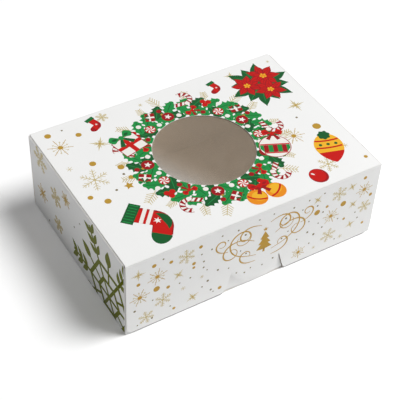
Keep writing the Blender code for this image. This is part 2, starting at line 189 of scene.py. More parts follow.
class CookieBoxInks(bpy.types.PropertyGroup):
    """Colours of the print."""

    red: colour("Red", "Petals, stockings, ribbons and baubles", srgb(200, 24, 20))
    dark_red: colour("Dark red", "Outlines, bands, parcels and baubles", srgb(158, 22, 28))
    green: colour("Green", "Holly leaves, stripes and veins", srgb(30, 142, 68))
    dark_green: colour("Dark green", "Holly leaves, caps and cuffs", srgb(18, 88, 42))
    olive: colour("Olive", "The great flake", srgb(108, 114, 8))
    gold: colour("Gold", "Large dots, stars, scrolls and the fir tree", srgb(188, 148, 56))
    pale_gold: colour("Pale gold", "Flakes and twigs", srgb(202, 186, 138))
    bronze: colour("Bronze", "Small dots and beads", srgb(126, 113, 82))
    orange: colour("Orange", "Golden baubles and hearts of flowers", srgb(238, 146, 32))
    yellow: colour("Yellow", "Drop bauble, lit sides and beads", srgb(244, 184, 48))
    white: colour("White", "Bands, ribbons and stars", srgb(246, 242, 236))


class CookieBoxStudio(bpy.types.PropertyGroup):
    """Light, floor and camera."""

    sky: FloatProperty(name="Sky", description="Even light from all round", default=0.16, min=0)
    lamp: FloatProperty(name="Lamp", description="Strength of the soft lamp", default=2.81, min=0)
    lamp_spread: FloatProperty(
        name="Lamp spread", description="How large the lamp looks", default=0.474, subtype="ANGLE"
    )
    lamp_from: position("Lamp from", "Way to the lamp", (0.445, -0.226, 0.866), "DIRECTION")
    fill: FloatProperty(
        name="Fill", description="Watts of the weak lamp", default=0.78, min=0, unit="POWER"
    )
    fill_radius: length("Fill radius", "Half of the weak lamp's size", 0.1)
    fill_place: position("Fill place", "Where the weak lamp hangs", (0.32, -0.19, 0.23))
    floor: colour("Floor", "Colour of the floor", (0.97, 0.97, 0.97))
    floor_bounce: colour("Floor bounce", "Floor as it lights the box", (0.83, 0.83, 0.83))
    floor_glow: colour("Floor glow", "Lifts the floor to white for the camera", (0.1, 0.1, 0.1))
    camera_place: position(
        "Camera place", "Where the camera stands", (-0.32369, -0.50259, 0.59791)
    )
    camera_aim: position(
        "Camera aim", "The point in the middle of the view", (-0.00772, -0.00949, 0.03)
    )
    camera_roll: FloatProperty(
        name="Camera roll", description="Tilt of the camera about its view",
        default=math.radians(2.76), subtype="ANGLE"
    )
    focal: FloatProperty(
        name="Focal length", description="Of the lens, in millimetres", default=98.88, min=1,
        unit="CAMERA"
    )


def both_ways(operation):
    """Two methods that add a Math node: for the operator as written, and for its reflected form."""

    def written(wire, other):
        """The wire comes first."""
        return wire.maths(operation, wire, other)

    def reflected(wire, other):
        """The wire comes second."""
        return wire.maths(operation, other, wire)

    return written, reflected


class Wire:
    """A node's output in a sum. Operators on it add the Math nodes that work the sum out."""

    def __init__(self, recipe, socket):
        self.recipe = recipe
        self.socket = socket

    def maths(self, operation, first, second=0.0):
        """A Math node of this operation on two wires or numbers."""
        return self.recipe.node("ShaderNodeMath", {"operation": operation}, {0: first, 1: second})

    __add__, __radd__ = both_ways("ADD")
    __sub__, __rsub__ = both_ways("SUBTRACT")
    __mul__, __rmul__ = both_ways("MULTIPLY")
    __truediv__, __rtruediv__ = both_ways("DIVIDE")
    __pow__, __rpow__ = both_ways("POWER")

    def __abs__(self):
        return self.maths("ABSOLUTE", self)

    def least(self, other):
        """The smaller of this and another value."""
        return self.maths("MINIMUM", self, other)

    def most(self, other):
        """The greater of this and another value."""
        return self.maths("MAXIMUM", self, other)


class Recipe:
    """The nodes of one material or world."""

    def __init__(self, owner):
        owner.use_nodes = True
        self.owner = owner
        self.tree = owner.node_tree
        self.tree.nodes.clear()

    def node(self, kind, settings=None, sockets=None, output=0):
        """Add a node, with its settings first and then the values or wires of its sockets."""
        made = self.tree.nodes.new(kind)
        for name, value in (settings or {}).items():
            setattr(made, name, value)
        for key, value in (sockets or {}).items():
            if isinstance(value, Wire):
                self.tree.links.new(value.socket, made.inputs[key])
            else:
                made.inputs[key].default_value = value
        return Wire(self, made.outputs[output]) if made.outputs else made

    def parts_of_place(self):
        """The place's x, y and z."""
        spot = self.node("ShaderNodeTexCoord", output="Object")
        return [self.node("ShaderNodeSeparateXYZ", {}, {0: spot}, output=axis) for axis in range(3)]

    def seen(self):
        """1 for what is seen directly, mirrored or through the film, and 0 for its light."""
        direct, mirrored_in, through = (
            self.node("ShaderNodeLightPath", output=f"Is {kind} Ray")
            for kind in ("Camera", "Glossy", "Transmission")
        )
        return direct.most(mirrored_in).most(through)

    def noise(self, per_metre, detail=2, stretch=(1, 1, 1)):
        """Noise with this many grains in a metre, on the place stretched along x, y and z."""
        spot = self.node("ShaderNodeTexCoord", output="Object")
        spot = self.node("ShaderNodeMapping", {}, {"Vector": spot, "Scale": stretch})
        sockets = {"Vector": spot, "Scale": per_metre, "Detail": detail}
        return self.node("ShaderNodeTexNoise", {}, sockets)

    def mix(self, share, first, second):
        """A colour between two others."""
        first, second = (c if isinstance(c, Wire) else (*c, 1) for c in (first, second))
        settings = {"data_type": "RGBA", "clamp_factor": True}
        return self.node("ShaderNodeMix", settings, {0: share, 6: first, 7: second}, output=2)

    def bump(self, strength, distance, height):
        """A normal that follows a height, which stands for this distance at 1."""
        sockets = {"Strength": strength, "Distance": distance, "Height": height}
        return self.node("ShaderNodeBump", {}, sockets)

    def finish(self, sockets):
        """A Principled surface with these sockets, as the material's output."""
        surface = self.node("ShaderNodeBsdfPrincipled", {}, sockets)
        self.node("ShaderNodeOutputMaterial", {}, {"Surface": surface})
        return self.owner


def new_recipe(name):
    """The empty recipe of a new material."""
    return Recipe(bpy.data.materials.new(name))


def near_fold(recipe, reach):
    """A mask that rises to 1 at the folds of the box and falls to 0 at this reach from them.

    Of the distances to the box's end, front or back, and top or bottom, the least is zero on the
    face itself, so the middle one is the distance to the nearest fold.
    """
    x, y, z = recipe.parts_of_place()
    to_end = CAD_HIGH.x - abs(x)
    to_front = CAD_HIGH.y - abs(y)
    to_top = (CAD_HIGH.z - z).least(z)
    nearer, further = to_end.least(to_front), to_end.most(to_front)
    middle = nearer.most(further.least(to_top))
    return (1 - middle / reach).most(0.0)


def white_board_look(board):
    """Clay coated board: a soft sheen, faint clouds and fibres, and folds that are a little grey.

    The foot of the front face is darkened in a line as thin as the board: a painted contact shadow
    where it rests on the floor.
    """
    recipe = new_recipe("white_board")
    _, y, z = recipe.parts_of_place()
    shadow_line_height, shadow_line_fade, shadow_line_depth, wear_and_fold_shade_reach = 0.0008, 0.0003, 0.0008, 0.0011
    # Painted contact shadow: a thin grey line along the foot of the front face, darker towards the
    # bottom.
    foot = ((FLAP_LOW.z + shadow_line_height - z) / shadow_line_fade).most(0.0).least(1.0)
    foot = foot * (1 - (y - CAD_LOW.y) / shadow_line_depth).most(0.0)
    cloud = recipe.noise(45, detail=3)
    fibre = recipe.noise(900, detail=3, stretch=(1, 2.5, 1))
    # Partly wear and partly painted shade: the white side turns grey along the folds.
    wear_and_fold_shade = near_fold(recipe, wear_and_fold_shade_reach) * (0.55 + 0.6 * recipe.noise(260))
    tone = (cloud - 0.5) * 0.10 + (fibre - 0.5) * 0.10 + wear_and_fold_shade * 0.75 + 0.06
    return recipe.finish({
        "Base Color": recipe.mix(foot, recipe.mix(tone, board.white, board.wear_and_fold_shade), board.foot),
        "Roughness": 0.40 + fibre * 0.10 + wear_and_fold_shade * 0.15,
        "Normal": recipe.bump(0.12, 0.0003, fibre + cloud * 2.5),
    })


def bare_board_look(board):
    """The uncoated inner side: matt, warm and flecked with fibres.

    It is pale beside the folds at the top and the front, where the white side's rim catches light.
    """
    recipe = new_recipe("bare_board")
    rim_reach = 0.0022
    _, y, z = recipe.parts_of_place()
    rim = (z / CAD_HIGH.z).most(y / CAD_LOW.y).most(0.0)
    cloud = recipe.noise(60, detail=4)
    fibre = recipe.noise(1100, detail=4, stretch=(1, 3.5, 1.6))
    fleck = ((recipe.noise(700, detail=1, stretch=(3, 1, 1.5)) - 0.60) * 9).most(0.0).least(1.0)
    tone = (cloud - 0.5) * 0.5 + (fibre - 0.4) * 0.7 + fleck * 0.35
    flat = recipe.mix(tone, board.inside, board.fleck)
    return recipe.finish({
        "Base Color": recipe.mix(near_fold(recipe, rim_reach) * rim * 1.6, flat, board.cut),
        "Roughness": 0.78 + fibre * 0.15,
        "Normal": recipe.bump(0.3, 0.0002, fibre + fleck),
    })


def cut_edge_look(board):
    """The board's core where the die has cut it: pale layers of pressed fibre."""
    recipe = new_recipe("cut_edge")
    layers = recipe.noise(5200)
    ragged = recipe.noise(1500, detail=3)
    return recipe.finish({
        "Base Color": recipe.mix(layers * 0.8 + ragged * 0.3, board.cut, board.cut_shade),
        "Roughness": 0.80 + ragged * 0.12,
        "Normal": recipe.bump(0.4, 0.0001, layers),
    })


def film_look(board):
    """Thin clear film: almost all light passes, but a soft glare veils its left and front.

    The painted glare is the square of the way towards that side, in radii of the window, past its
    start.
    """
    recipe = new_recipe("thin_film")
    to_left, to_front, start = -0.9, 0.42, 0.25
    x, y, _ = recipe.parts_of_place()
    # Painted glare: base colour and alpha rise towards the film's left and front.
    glare = (((x * to_left - y * to_front) / board.window) - start).most(0.0) ** 2
    ripple = recipe.noise(28)
    haze = recipe.noise(140, detail=3)
    veil = recipe.mix(haze, board.film, board.film_haze)
    return recipe.finish({
        "Base Color": recipe.mix(glare * 2.4, veil, board.glare),
        "Roughness": 0.05 + haze * 0.06,
        "Alpha": 0.10 + haze * 0.05 + glare * 0.4,
        "IOR": 1.49,
        "Normal": recipe.bump(0.25, 0.002, ripple),
    })


def ink_look(name):
    """Printing ink: the board's grain shows in it, and the golds have a metallic sheen."""
    recipe = new_recipe(name)
    golden = name in ("gold", "pale_gold", "bronze")
    full = getattr(bpy.context.scene.cookie_box_inks, name)
    thin = [share * 0.88 + 0.008 for share in full]
    grain = recipe.noise(1400)
    patch = recipe.noise(130)
    return recipe.finish({
        "Base Color": recipe.mix(grain * 0.5 + patch * 0.3, full, thin),
        "Specular IOR Level": 0.1,
        "Metallic": 0.2 if golden else 0.0,
        "Roughness": (0.34 if golden else 0.40) + grain * 0.14,
        "Normal": recipe.bump(0.1, 0.0002, grain),
    })


def look(name):
    """A finish by its name, made the first time it is wanted."""
    made = bpy.data.materials.get(name)
    if made:
        return made
    makers = {
        "white_board": white_board_look,
        "bare_board": bare_board_look,
        "cut_edge": cut_edge_look,
        "thin_film": film_look,
    }
    if name in makers:
        return makers[name](bpy.context.scene.cookie_box_board)
    return ink_look(name)


def new_object(name, data):
    """An object at the origin, in the scene."""
    made = bpy.data.objects.new(name, data)
    bpy.context.scene.collection.objects.link(made)
    return made


def new_piece(name, points, faces, looks, indices=None):
    """A finished mesh object at the origin, smooth but for its sharp edges."""
    mesh = bpy.data.meshes.new(name)
    mesh.from_pydata(points, [], faces)
    for finish in looks:
        mesh.materials.append(finish)
    if indices is not None:
        mesh.polygons.foreach_set("material_index", indices)
    mesh.shade_smooth()
    mesh.set_sharp_from_angle(angle=SHARP)
    mesh.update()
    return new_object(name, mesh)


def closed_board(name, outer, inner, kept=None, wrap=False):
    """A board between two grids of points, closed by a rim round every free edge.

    Each grid cell gives a quad on the outer face and one, turned over, on the inner face. An edge
    that only one kept cell uses is free, and gets a quad from the outer to the inner face. A
    negative volume shows that the faces point in, and then all of them are turned over.
    """
    rows, columns = outer.shape[:2]
    row = np.arange(rows - 1)[:, None]
    column = np.arange(columns if wrap else columns - 1)[None, :]
    right = (column + 1) % columns
    corners = [row * columns + column, row * columns + right]
    corners += [(row + 1) * columns + right, (row + 1) * columns + column]
    cells = np.stack(np.broadcast_arrays(*corners), axis=-1)
    cells = cells.reshape(-1, 4) if kept is None else cells[kept]
    count = rows * columns
    starts, ends = cells.ravel(), np.roll(cells, -1, axis=1).ravel()
    free = ~np.isin(ends * count + starts, starts * count + ends)
    starts, ends = starts[free], ends[free]
    rim = np.stack([ends, starts, starts + count, ends + count], axis=1)
    faces = np.concatenate([cells, cells[:, ::-1] + count, rim])
    finishes = np.repeat([0, 1, 2], [len(cells), len(cells), len(rim)])
    used, numbers = np.unique(faces, return_inverse=True)
    faces = numbers.reshape(-1, 4)
    points = np.concatenate([outer.reshape(-1, 3), inner.reshape(-1, 3)])[used]
    a, b, c, d = (points[faces[:, corner]] for corner in range(4))
    volume = np.sum(a * np.cross(b, c)) + np.sum(a * np.cross(c, d))
    if volume < 0:
        faces = faces[:, ::-1]
    looks = [look("white_board"), look("bare_board"), look("cut_edge")]
    return new_piece(name, points, faces.tolist(), looks, finishes)


def swept_board(name, outer_line, inner_line, borders, counts, axes, opening=None):
    """A board whose rows follow a section line and run straight across between borders.

    Row i lies at outer_line[i] and inner_line[i]. Across it, points are spread evenly between each
    border and the next. The rows of the opening, a slice, are left out in the middle zone.
    """
    across = []
    for zone, count in enumerate(counts):
        share = np.linspace(0, 1, count, endpoint=False)
        across.append(borders[:, [zone]] * (1 - share) + borders[:, [zone + 1]] * share)
    across = np.concatenate(across + [borders[:, -1:]], axis=1)
    faces = []
    for line in (outer_line, inner_line):
        points = np.empty(across.shape + (3,))
        points[..., axes[0]] = line[:, [0]]
        points[..., axes[1]] = line[:, [1]]
        points[..., axes[2]] = across
        faces.append(points)
    kept = None
    if opening is not None:
        kept = np.ones((across.shape[0] - 1, across.shape[1] - 1), bool)
        kept[opening, counts[0]:counts[0] + counts[1]] = False
    return closed_board(name, *faces, kept)


def corner_rise(distance, radius):
    """How far a rounded corner cuts in, at a distance from the edge that it runs out on."""
    inside = np.clip(radius - distance, 0, radius)
    return radius - np.sqrt(radius**2 - inside**2)


def rounded_rows(start, end, radius):
    """Places from start to end, drawn closer round a corner of this radius at the end."""
    way = math.copysign(1, end - start)
    straight = np.linspace(start, end - way * radius, STRAIGHT_ROWS, endpoint=False)
    return np.append(straight, end - way * radius * (1 - np.sin(QUARTER_TURN)))


def tongue_half(height, board, room=0.0):
    """Half of the tongue's width at a height: it widens evenly from its top to its foot."""
    down = (TONGUE_HIGH.z - height) / (TONGUE_HIGH.z - TONGUE_LOW.z)
    return board.tongue_top + room + (board.tongue_foot - board.tongue_top) * down


def wall_line(face, inward, stops, depth, board):
    """Section of a wall at a depth behind its outer face: straight down, then a quarter turn.

    The stops are the heights of its top and of a notch's top, where there is one.
    """
    radius = board.fold - depth
    heights = np.concatenate([
        np.linspace(upper, lower, STRAIGHT_ROWS, endpoint=False)
        for upper, lower in zip(stops, (*stops[1:], board.fold))
    ])
    across = np.full(len(heights), face + inward * depth)
    bend = face + inward * (board.fold - radius * np.cos(QUARTER_TURN))
    return np.column_stack([
        np.append(across, bend),
        np.append(heights, board.fold - radius * np.sin(QUARTER_TURN)),
    ])


def wall_half(line, end_face, board):
    """Half the width of the front or back wall along its section: less at the bottom crease."""
    return np.where(line[:, 1] < board.fold, end_face - board.fold, end_face)


def upright_lines(faces, heights):
    """Straight upright sections at these faces, through the same heights."""
    return [np.column_stack([np.full(len(heights), face), heights]) for face in faces]


def both_lines(line, board, *sizes):
    """A section line at the outer face and at the inner face."""
    return (line(*sizes, depth, board) for depth in (0.0, board.ply))


def crease_line(across, up, outward, depth, board):
    """Section of a crease: a leg on the lid, a quarter turn about the axis, a leg down the flap."""
    radius = BOARD - board.print_room - depth
    leg = np.linspace(LEG, 0, LEG_ROWS, endpoint=False)
    return np.column_stack([
        np.concatenate([
            across - outward * leg,
            across + outward * radius * np.sin(QUARTER_TURN),
            np.full(LEG_ROWS, across + outward * radius),
        ]),
        np.concatenate([
            np.full(LEG_ROWS, up + radius), up + radius * np.cos(QUARTER_TURN), up - leg[::-1]
        ]),
    ])


def tab_line(side_face, side, tab_face, inward, tip, depth, board):
    """Plan of a corner: a quarter turn from the side wall, then straight to the tab's tip."""
    radius = board.fold - depth
    root = side_face - side * board.fold
    straight = rounded_rows(root, tip, board.tab_corner)[1:]
    return np.column_stack([
        np.append(root + side * radius * np.cos(QUARTER_TURN), straight),
        np.append(
            tab_face + inward * (board.fold - radius * np.sin(QUARTER_TURN)),
            np.full(len(straight), tab_face + inward * depth),
        ),
    ])


def even_borders(rows, *places):
    """The same borders for every row."""
    return np.tile(places, (rows, 1))


def build_base(board, end_face, front, back):
    """The bottom board, from the front crease to the back one."""
    places = np.linspace(front + board.fold, back - board.fold, STRAIGHT_ROWS)
    half = end_face - board.fold
    lines = [np.column_stack([places, np.full(len(places), height)]) for height in (0.0, board.ply)]
    borders = even_borders(len(places), -half, half)
    return swept_board("base_board", *lines, borders, [CREASE_COLUMNS], ACROSS_Y)


def build_front_wall(board, end_face, front):
    """The wall behind the front flap, with the slot that the tongue swings into.

    The slot ends above the bottom crease, which runs on under the tongue.
    """
    slot_top = TONGUE_AXIS.z + board.slot_room
    stops = (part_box("front_wall")[1].z, slot_top)
    outer, inner = both_lines(wall_line, board, front, 1, stops)
    room = board.slit + board.slot_room
    slot = tongue_half(np.minimum(outer[:, 1], slot_top), board, room)
    half = wall_half(outer, end_face, board)
    borders = np.column_stack([-half, -slot, slot, half])
    slot_rows = slice(STRAIGHT_ROWS, 2 * STRAIGHT_ROWS)
    return swept_board(
        "front_wall_board", outer, inner, borders, THREE_ZONES, ACROSS_Y, opening=slot_rows
    )


def side_span(board):
    """From the front to the back end of the flat part of the side walls."""
    corner = board.print_room + board.ply + board.fold
    return FRONT_FACE + corner, CAD_HIGH.y - corner


def build_tray(board):
    """Base, walls and glued corner tabs: one folded tray.

    Each tab narrows evenly from the side wall to its tip, whose two corners are rounded.
    """
    end_face = CAD_HIGH.x - board.print_room
    front = FRONT_FACE + board.print_room
    back = CAD_HIGH.y - board.print_room
    made = {
        "base_panel": build_base(board, end_face, front, back),
        "front_wall": build_front_wall(board, end_face, front),
    }
    outer, inner = both_lines(wall_line, board, back, -1, (FLAP_HIGH.z,))
    half = wall_half(outer, end_face, board)
    borders = np.column_stack([-half, half])
    made["back_wall"] = swept_board(
        "back_wall_board", outer, inner, borders, [CREASE_COLUMNS], ACROSS_Y
    )
    tab_faces = (("front", front + board.ply, 1), ("back", back - board.ply, -1))
    top = SIDE_TOP - board.wall_drop
    for word, side in (("left", -1), ("right", 1)):
        outer, inner = both_lines(wall_line, board, side * end_face, -side, (top,))
        borders = even_borders(len(outer), *side_span(board))
        made[f"{word}_wall"] = swept_board(
            f"{word}_wall_board", outer, inner, borders, [CREASE_COLUMNS], ACROSS_X
        )
        for place, face, inward in tab_faces:
            node = f"glue_tab_{place}_{word}"
            low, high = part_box(node)
            tip = high.x if side < 0 else low.x
            outer, inner = both_lines(tab_line, board, side * end_face, side, face, inward, tip)
            along = abs(outer[:, 0] - outer[ARC_ROWS - 1, 0])
            along[:ARC_ROWS] = 0
            narrow = board.tab_taper * along / along[-1]
            narrow = narrow + corner_rise(along[-1] - along, board.tab_corner)
            borders = np.column_stack([low.z + narrow, high.z - narrow])
            made[node] = swept_board(
                f"{node}_board", outer, inner, borders, [STRAIGHT_ROWS], IN_PLAN
            )
    for node, piece in made.items():
        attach(piece, "tray")
        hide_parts(node)


def build_lid(board):
    """The lid board as a grid of rings, from the round window out to the straight edges.

    Ring k lies a share of the way from the window's circle to the outline, along each direction.
    The two directions nearest to each corner are moved onto it, so the corners are sharp.
    """
    half = np.array([DUST_AXIS.x - LEG, LID_AXIS.y - LEG])
    angles = np.arange(WINDOW_COLUMNS) * 2 * math.pi / WINDOW_COLUMNS
    corner = math.atan2(half[1], half[0])
    for place in (corner, math.pi - corner, math.pi + corner, 2 * math.pi - corner):
        angles[np.argmin(abs(angles - place))] = place
    ways = np.column_stack([np.cos(angles), np.sin(angles)])
    reach = np.min(half / np.maximum(abs(ways), 1e-9), axis=1)
    softening = board.print_room
    shares_of_way = (0.02, 0.08, 0.25, 0.5, 0.75, 1.0)
    radii = [np.full(len(angles), board.window), np.full(len(angles), board.window + softening)]
    for share in shares_of_way:
        radii.append(board.window + softening + (reach - board.window - softening) * share)
    flat = np.stack(radii)[..., None] * ways
    top = CAD_HIGH.z - board.print_room
    outer_height = np.full(flat.shape[:2] + (1,), top)
    outer_height[0] = top - softening
    inner_height = np.full(flat.shape[:2] + (1,), top - board.ply)
    outer = np.concatenate([flat, outer_height], axis=2)
    inner = np.concatenate([flat, inner_height], axis=2)
    lid = closed_board("lid_board", outer, inner, wrap=True)
    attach(lid, "lid")
    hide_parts("lid_panel")
    film = frame["nodes"]["window_film"]
    film.data.materials.clear()
    film.data.materials.append(look("thin_film"))


def build_flap(board):
    """The front flap: upright down to its rounded foot, and open where the tongue is cut out.

    The opening is as wide as the tongue and its two slits, and flares at the foot in a quarter
    circle on each side.
    """
    face = CAD_LOW.y + board.print_room
    upper = np.linspace(FLAP_HIGH.z, TONGUE_AXIS.z, STRAIGHT_ROWS, endpoint=False)
    heights = np.append(upper, rounded_rows(TONGUE_AXIS.z, FLAP_LOW.z, board.flap_corner))
    half = FLAP_HIGH.x - corner_rise(heights - FLAP_LOW.z, board.flap_corner)
    slit = tongue_half(np.minimum(heights, TONGUE_AXIS.z), board, board.slit)
    slit = slit + corner_rise(heights - FLAP_LOW.z, board.slit_corner)
    borders = np.column_stack([-half, -slit, slit, half])
    lines = upright_lines((face, face + board.ply), heights)
    tongue_rows = slice(STRAIGHT_ROWS, None)
    flap = swept_board(
        "front_flap_board", *lines, borders, THREE_ZONES, ACROSS_Y, opening=tongue_rows
    )
    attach(flap, "front_flap")
    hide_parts("front_flap")


def build_tongue(board):
    """The locking tongue: flat above its curved fold and leaning in below it.

    The fold's height is a parabola across the tongue. Below it the face leans in by a share of
    the drop, larger at the sides, eased so that the fold is soft, and less and less as it nears
    its full depth. The inner face lies one ply behind along the normals. The top edge stays with
    the flap, and the board bends just below it.
    """
    softness, end_drop, flat_rows, bent_rows = 0.0007, 0.0006, 4, 12
    middle_lean, side_lean = 0.2, 0.45
    across = np.sin(np.linspace(-math.pi / 2, math.pi / 2, TONGUE_COLUMNS + 1))[None, :]
    lean = middle_lean + (side_lean - middle_lean) * across**2
    middle, end = board.tongue_fold, TONGUE_HIGH.z - end_drop
    fold = middle + (end - middle) * across**2
    foot = TONGUE_LOW.z + corner_rise((1 - abs(across)) * board.tongue_foot, board.tongue_corner)
    down = np.linspace(0, 1, flat_rows, endpoint=False)[:, None]
    upper = TONGUE_AXIS.z + (fold - TONGUE_AXIS.z) * down
    lower = fold + (foot - fold) * np.linspace(0, 1, bent_rows)[:, None]
    height = np.concatenate([upper, lower])
    drop = fold - height
    depth = lean * (drop + np.sqrt(drop**2 + softness**2)) / 2
    depth = board.tongue_depth * (1 - np.exp(-depth / board.tongue_depth))
    depth = depth * np.clip((TONGUE_AXIS.z - height) / softness, 0, 1)
    x = across * tongue_half(np.minimum(height, TONGUE_AXIS.z), board)
    face = CAD_LOW.y + board.print_room
    outer = np.stack([x, face + depth, height], axis=-1)
    along, down = np.gradient(outer, axis=1), np.gradient(outer, axis=0)
    normal = np.cross(along, down)
    normal /= np.linalg.norm(normal, axis=2, keepdims=True)
    normal *= np.sign(normal[..., 1:2])
    tongue = closed_board("locking_tongue_board", outer, outer + normal * board.ply)
    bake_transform(tongue)
    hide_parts("locking_tongue")


def build_dust_flaps(board):
    """The two flaps that hang from the lid's short sides.

    They narrow evenly from the top to the foot, whose two corners are rounded.
    """
    for word, side in (("left", -1), ("right", 1)):
        node = f"{word}_dust_flap"
        low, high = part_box(node)
        heights = rounded_rows(high.z, low.z, board.dust_corner)
        narrow = board.dust_taper * (high.z - heights) / (high.z - low.z)
        narrow = narrow + corner_rise(heights - low.z, board.dust_corner)
        face = side * (DUST_AXIS.x + BOARD - board.print_room)
        lines = upright_lines((face, face - side * board.ply), heights)
        borders = np.column_stack([low.y + narrow, high.y - narrow])
        flap = swept_board(f"{node}_board", *lines, borders, [CREASE_COLUMNS], ACROSS_X)
        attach(flap, node)
        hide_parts(node)


def bend_crease(board, name, bodies, axis, outward, span, axes):
    """A strip of board that bends about its axis, between the two bodies that it joins.

    The strip's two legs lie on the lid and down the hanging piece.
    """
    outer, inner = both_lines(crease_line, board, axis[axes[0]], axis.z, outward)
    borders = even_borders(len(outer), *span)
    strip = swept_board(name, outer, inner, borders, [CREASE_COLUMNS], axes)
    aside = Vector((0, 0, 0))
    aside[axes[0]] = outward * LEG / 2
    aside.z = -LEG / 2
    if bodies[0] != "lid":
        aside = -aside
    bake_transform(strip)


def build_creases(board):
    """The four creases of the lid."""
    span = (-FLAP_HIGH.x, FLAP_HIGH.x)
    bend_crease(board, "front_crease", ("lid", "front_flap"), FLAP_AXIS, -1, span, ACROSS_Y)
    span = (-DUST_AXIS.x, DUST_AXIS.x)
    bend_crease(board, "back_crease", ("tray", "lid"), LID_AXIS, 1, span, ACROSS_Y)
    span = (FLAP_AXIS.y + LEG, LID_AXIS.y - LEG)
    for word, side in (("left", -1), ("right", 1)):
        node = f"{word}_dust_flap"
        axis = AXES[f"{node}_hinge"]
        bend_crease(board, f"{word}_crease", ("lid", node), axis, side, span, ACROSS_X)


def mirrored(edge):
    """A closed outline from one edge drawn above the x axis: the edge's mirror image, then it."""
    outline = np.concatenate([np.conj(edge), edge[::-1]])
    return outline[abs(outline - np.roll(outline, 1)) > 1e-6]


def ring(across, count):
    """A circle of this diameter as a polygon with this many corners."""
    return across / 2 * np.exp(2j * np.pi * np.arange(count) / count)


def oval(wide, high):
    """An ellipse of this width and height."""
    circle = ring(1, 28)
    return circle.real * wide + 1j * circle.imag * high


def petal(reach, width, fullest=0.5, point=1.0):
    """A petal along +x. Its half width is a power of a sine arch, highest at the fullest share."""
    along = np.linspace(0, 1, 15)
    half = np.sin(np.pi * along ** (math.log(0.5) / math.log(fullest))) ** point
    return mirrored(along * reach + 1j * width / 2 * half)


def wedge_petal(reach, width, count):
    """A pointed petal that stays within its share of a ring of this many petals."""
    outline = petal(reach, width, point=1.4)
    room = outline.real * math.tan(math.pi / count)
    return outline.real + 1j * np.clip(outline.imag, -room, room)


def holly(reach, width):
    """A holly leaf along +x: a full arch for the half width, scooped out between its spines."""
    along = np.linspace(0, 1, 25)
    arch = np.sin(np.pi * along) ** 0.5
    scoop = 1 - 0.4 * abs(np.sin(4 * np.pi * along))
    return mirrored(along * reach + 1j * width / 2 * arch * scoop)


def rosette(across, lobes):
    """A circle of this diameter whose radius swells and shrinks once for each lobe."""
    turn = 2 * np.pi * np.arange(6 * lobes) / (6 * lobes)
    return across / 2 * (1 + 0.1 * np.cos(lobes * turn)) * np.exp(1j * turn)


def star(points, radius, inner):
    """A star with its first point on +x, and with the inner corners at a share of its radius."""
    turn = np.exp(1j * np.pi * np.arange(2 * points) / points)
    return turn * np.where(np.arange(2 * points) % 2, radius * inner, radius)


def slab(wide, high):
    """A rectangle about the origin."""
    return np.array([-wide - 1j * high, wide - 1j * high, wide + 1j * high, -wide + 1j * high]) / 2


def drop_half(share):
    """Half width of a drop at a share of its length: full before the middle, then pointed.

    A power of the share times a power of the rest, over the greatest value that this reaches.
    """
    peak = 0.3767
    return (share * (1 - share) ** 1.3) ** 0.62 / peak


def drop(reach, width, start=0.0):
    """A drop along +x, or what is left of it past a share of its length."""
    along = np.linspace(start, 1, 25)
    return mirrored(along * reach + 1j * width / 2 * drop_half(along))


def curl(start, heading, turns, reach):
    """A scroll that starts straight and turns ever faster: its heading grows with the square."""
    along = np.linspace(0, 1, 60)
    heading = math.radians(heading) + 2 * np.pi * turns * along**2
    return start + np.cumsum(np.exp(1j * heading)) * reach / len(along)


class Pen:
    """Draws flat shapes in millimetres and keeps them by ink.

    A point is a complex number, x along the face plus i times y up the face. Each shape is an
    outline that runs anticlockwise, the cells that fill it, and the level on which it lies. Shapes
    that overlap lie on different levels.
    """

    def __init__(self, shapes, place=0, turn=1, level=0, weight=1.0):
        self.shapes = shapes
        self.place = place
        self.turn = turn
        self.level = level
        self.weight = weight

    def at(self, place, degrees=0, level=0):
        """A pen for a motif that is placed, turned and raised within this drawing."""
        place = self.place + self.turn * place
        turn = self.turn * np.exp(1j * math.radians(degrees))
        return Pen(self.shapes, place, turn, self.level + level, self.weight)

    def draw(self, ink, outline, cells, level):
        """Keep a shape, placed and turned."""
        shape = (self.place + self.turn * outline, cells, self.level + level)
        self.shapes.setdefault(ink, []).append(shape)

    def fill(self, ink, outline, level=0):
        """A filled outline, turned over first where it runs clockwise."""
        area = np.sum(np.imag(np.conj(outline) * np.roll(outline, -1)))
        if area < 0:
            outline = outline[::-1]
        self.draw(ink, outline, np.arange(len(outline))[None, :], level)

    def stroke(self, ink, path, width, level=0):
        """A line with flat ends along a path, its width a number or one for each point."""
        path = np.array(path, complex)
        aside = np.gradient(path)
        aside = aside / abs(aside) * 0.5j * self.weight * np.array(width)
        first = np.arange(len(path) - 1)
        last = 2 * len(path) - 1 - first
        cells = np.stack([first, first + 1, last - 1, last], axis=1)
        self.draw(ink, np.concatenate([path - aside, (path + aside)[::-1]]), cells, level)


def dot(pen, across, ink=None, level=0):
    """A dot of the given ink, or else of gold, or of bronze where it is small."""
    ink = ink or ("gold" if across > 2.2 else "bronze")
    pen.fill(ink, ring(across, 12 + int(2 * across)), level)


def spoked(pen, radius):
    """A flake of twelve spokes, every other one shorter, with bars across and a gold centre."""
    for number in range(12):
        arm = pen.at(0, 30 * number)
        reach = radius * (0.72 if number % 2 else 1)
        arm.stroke(FINE if number % 2 else "gold", [0.2 * radius, reach], 0.6)
        arm.stroke(FINE, [0.62 * radius - 0.8j, 0.62 * radius + 0.8j], 0.6, 1)
    dot(pen, 0.42 * radius, "gold", 2)


def branches(pen, place, reach, degrees):
    """A pair of short lines that leave a stem along +x on both sides."""
    for slant in (-1, 1):
        foot = place + 0.3j * slant
        tip = foot + reach * np.exp(1j * slant * math.radians(degrees))
        pen.stroke(FINE, [foot, tip], 0.6, 1)


def branched(pen, radius):
    """A flake of six arms with three pairs of slanting branches each, about a small hub."""
    for number in range(6):
        arm = pen.at(0, 60 * number)
        arm.stroke(FINE, [0.8, radius], 0.85)
        for share, reach in ((0.3, 0.2), (0.52, 0.28), (0.76, 0.2)):
            branches(arm, share * radius, reach * radius, 45)
    dot(pen, 2.4, FINE, 2)


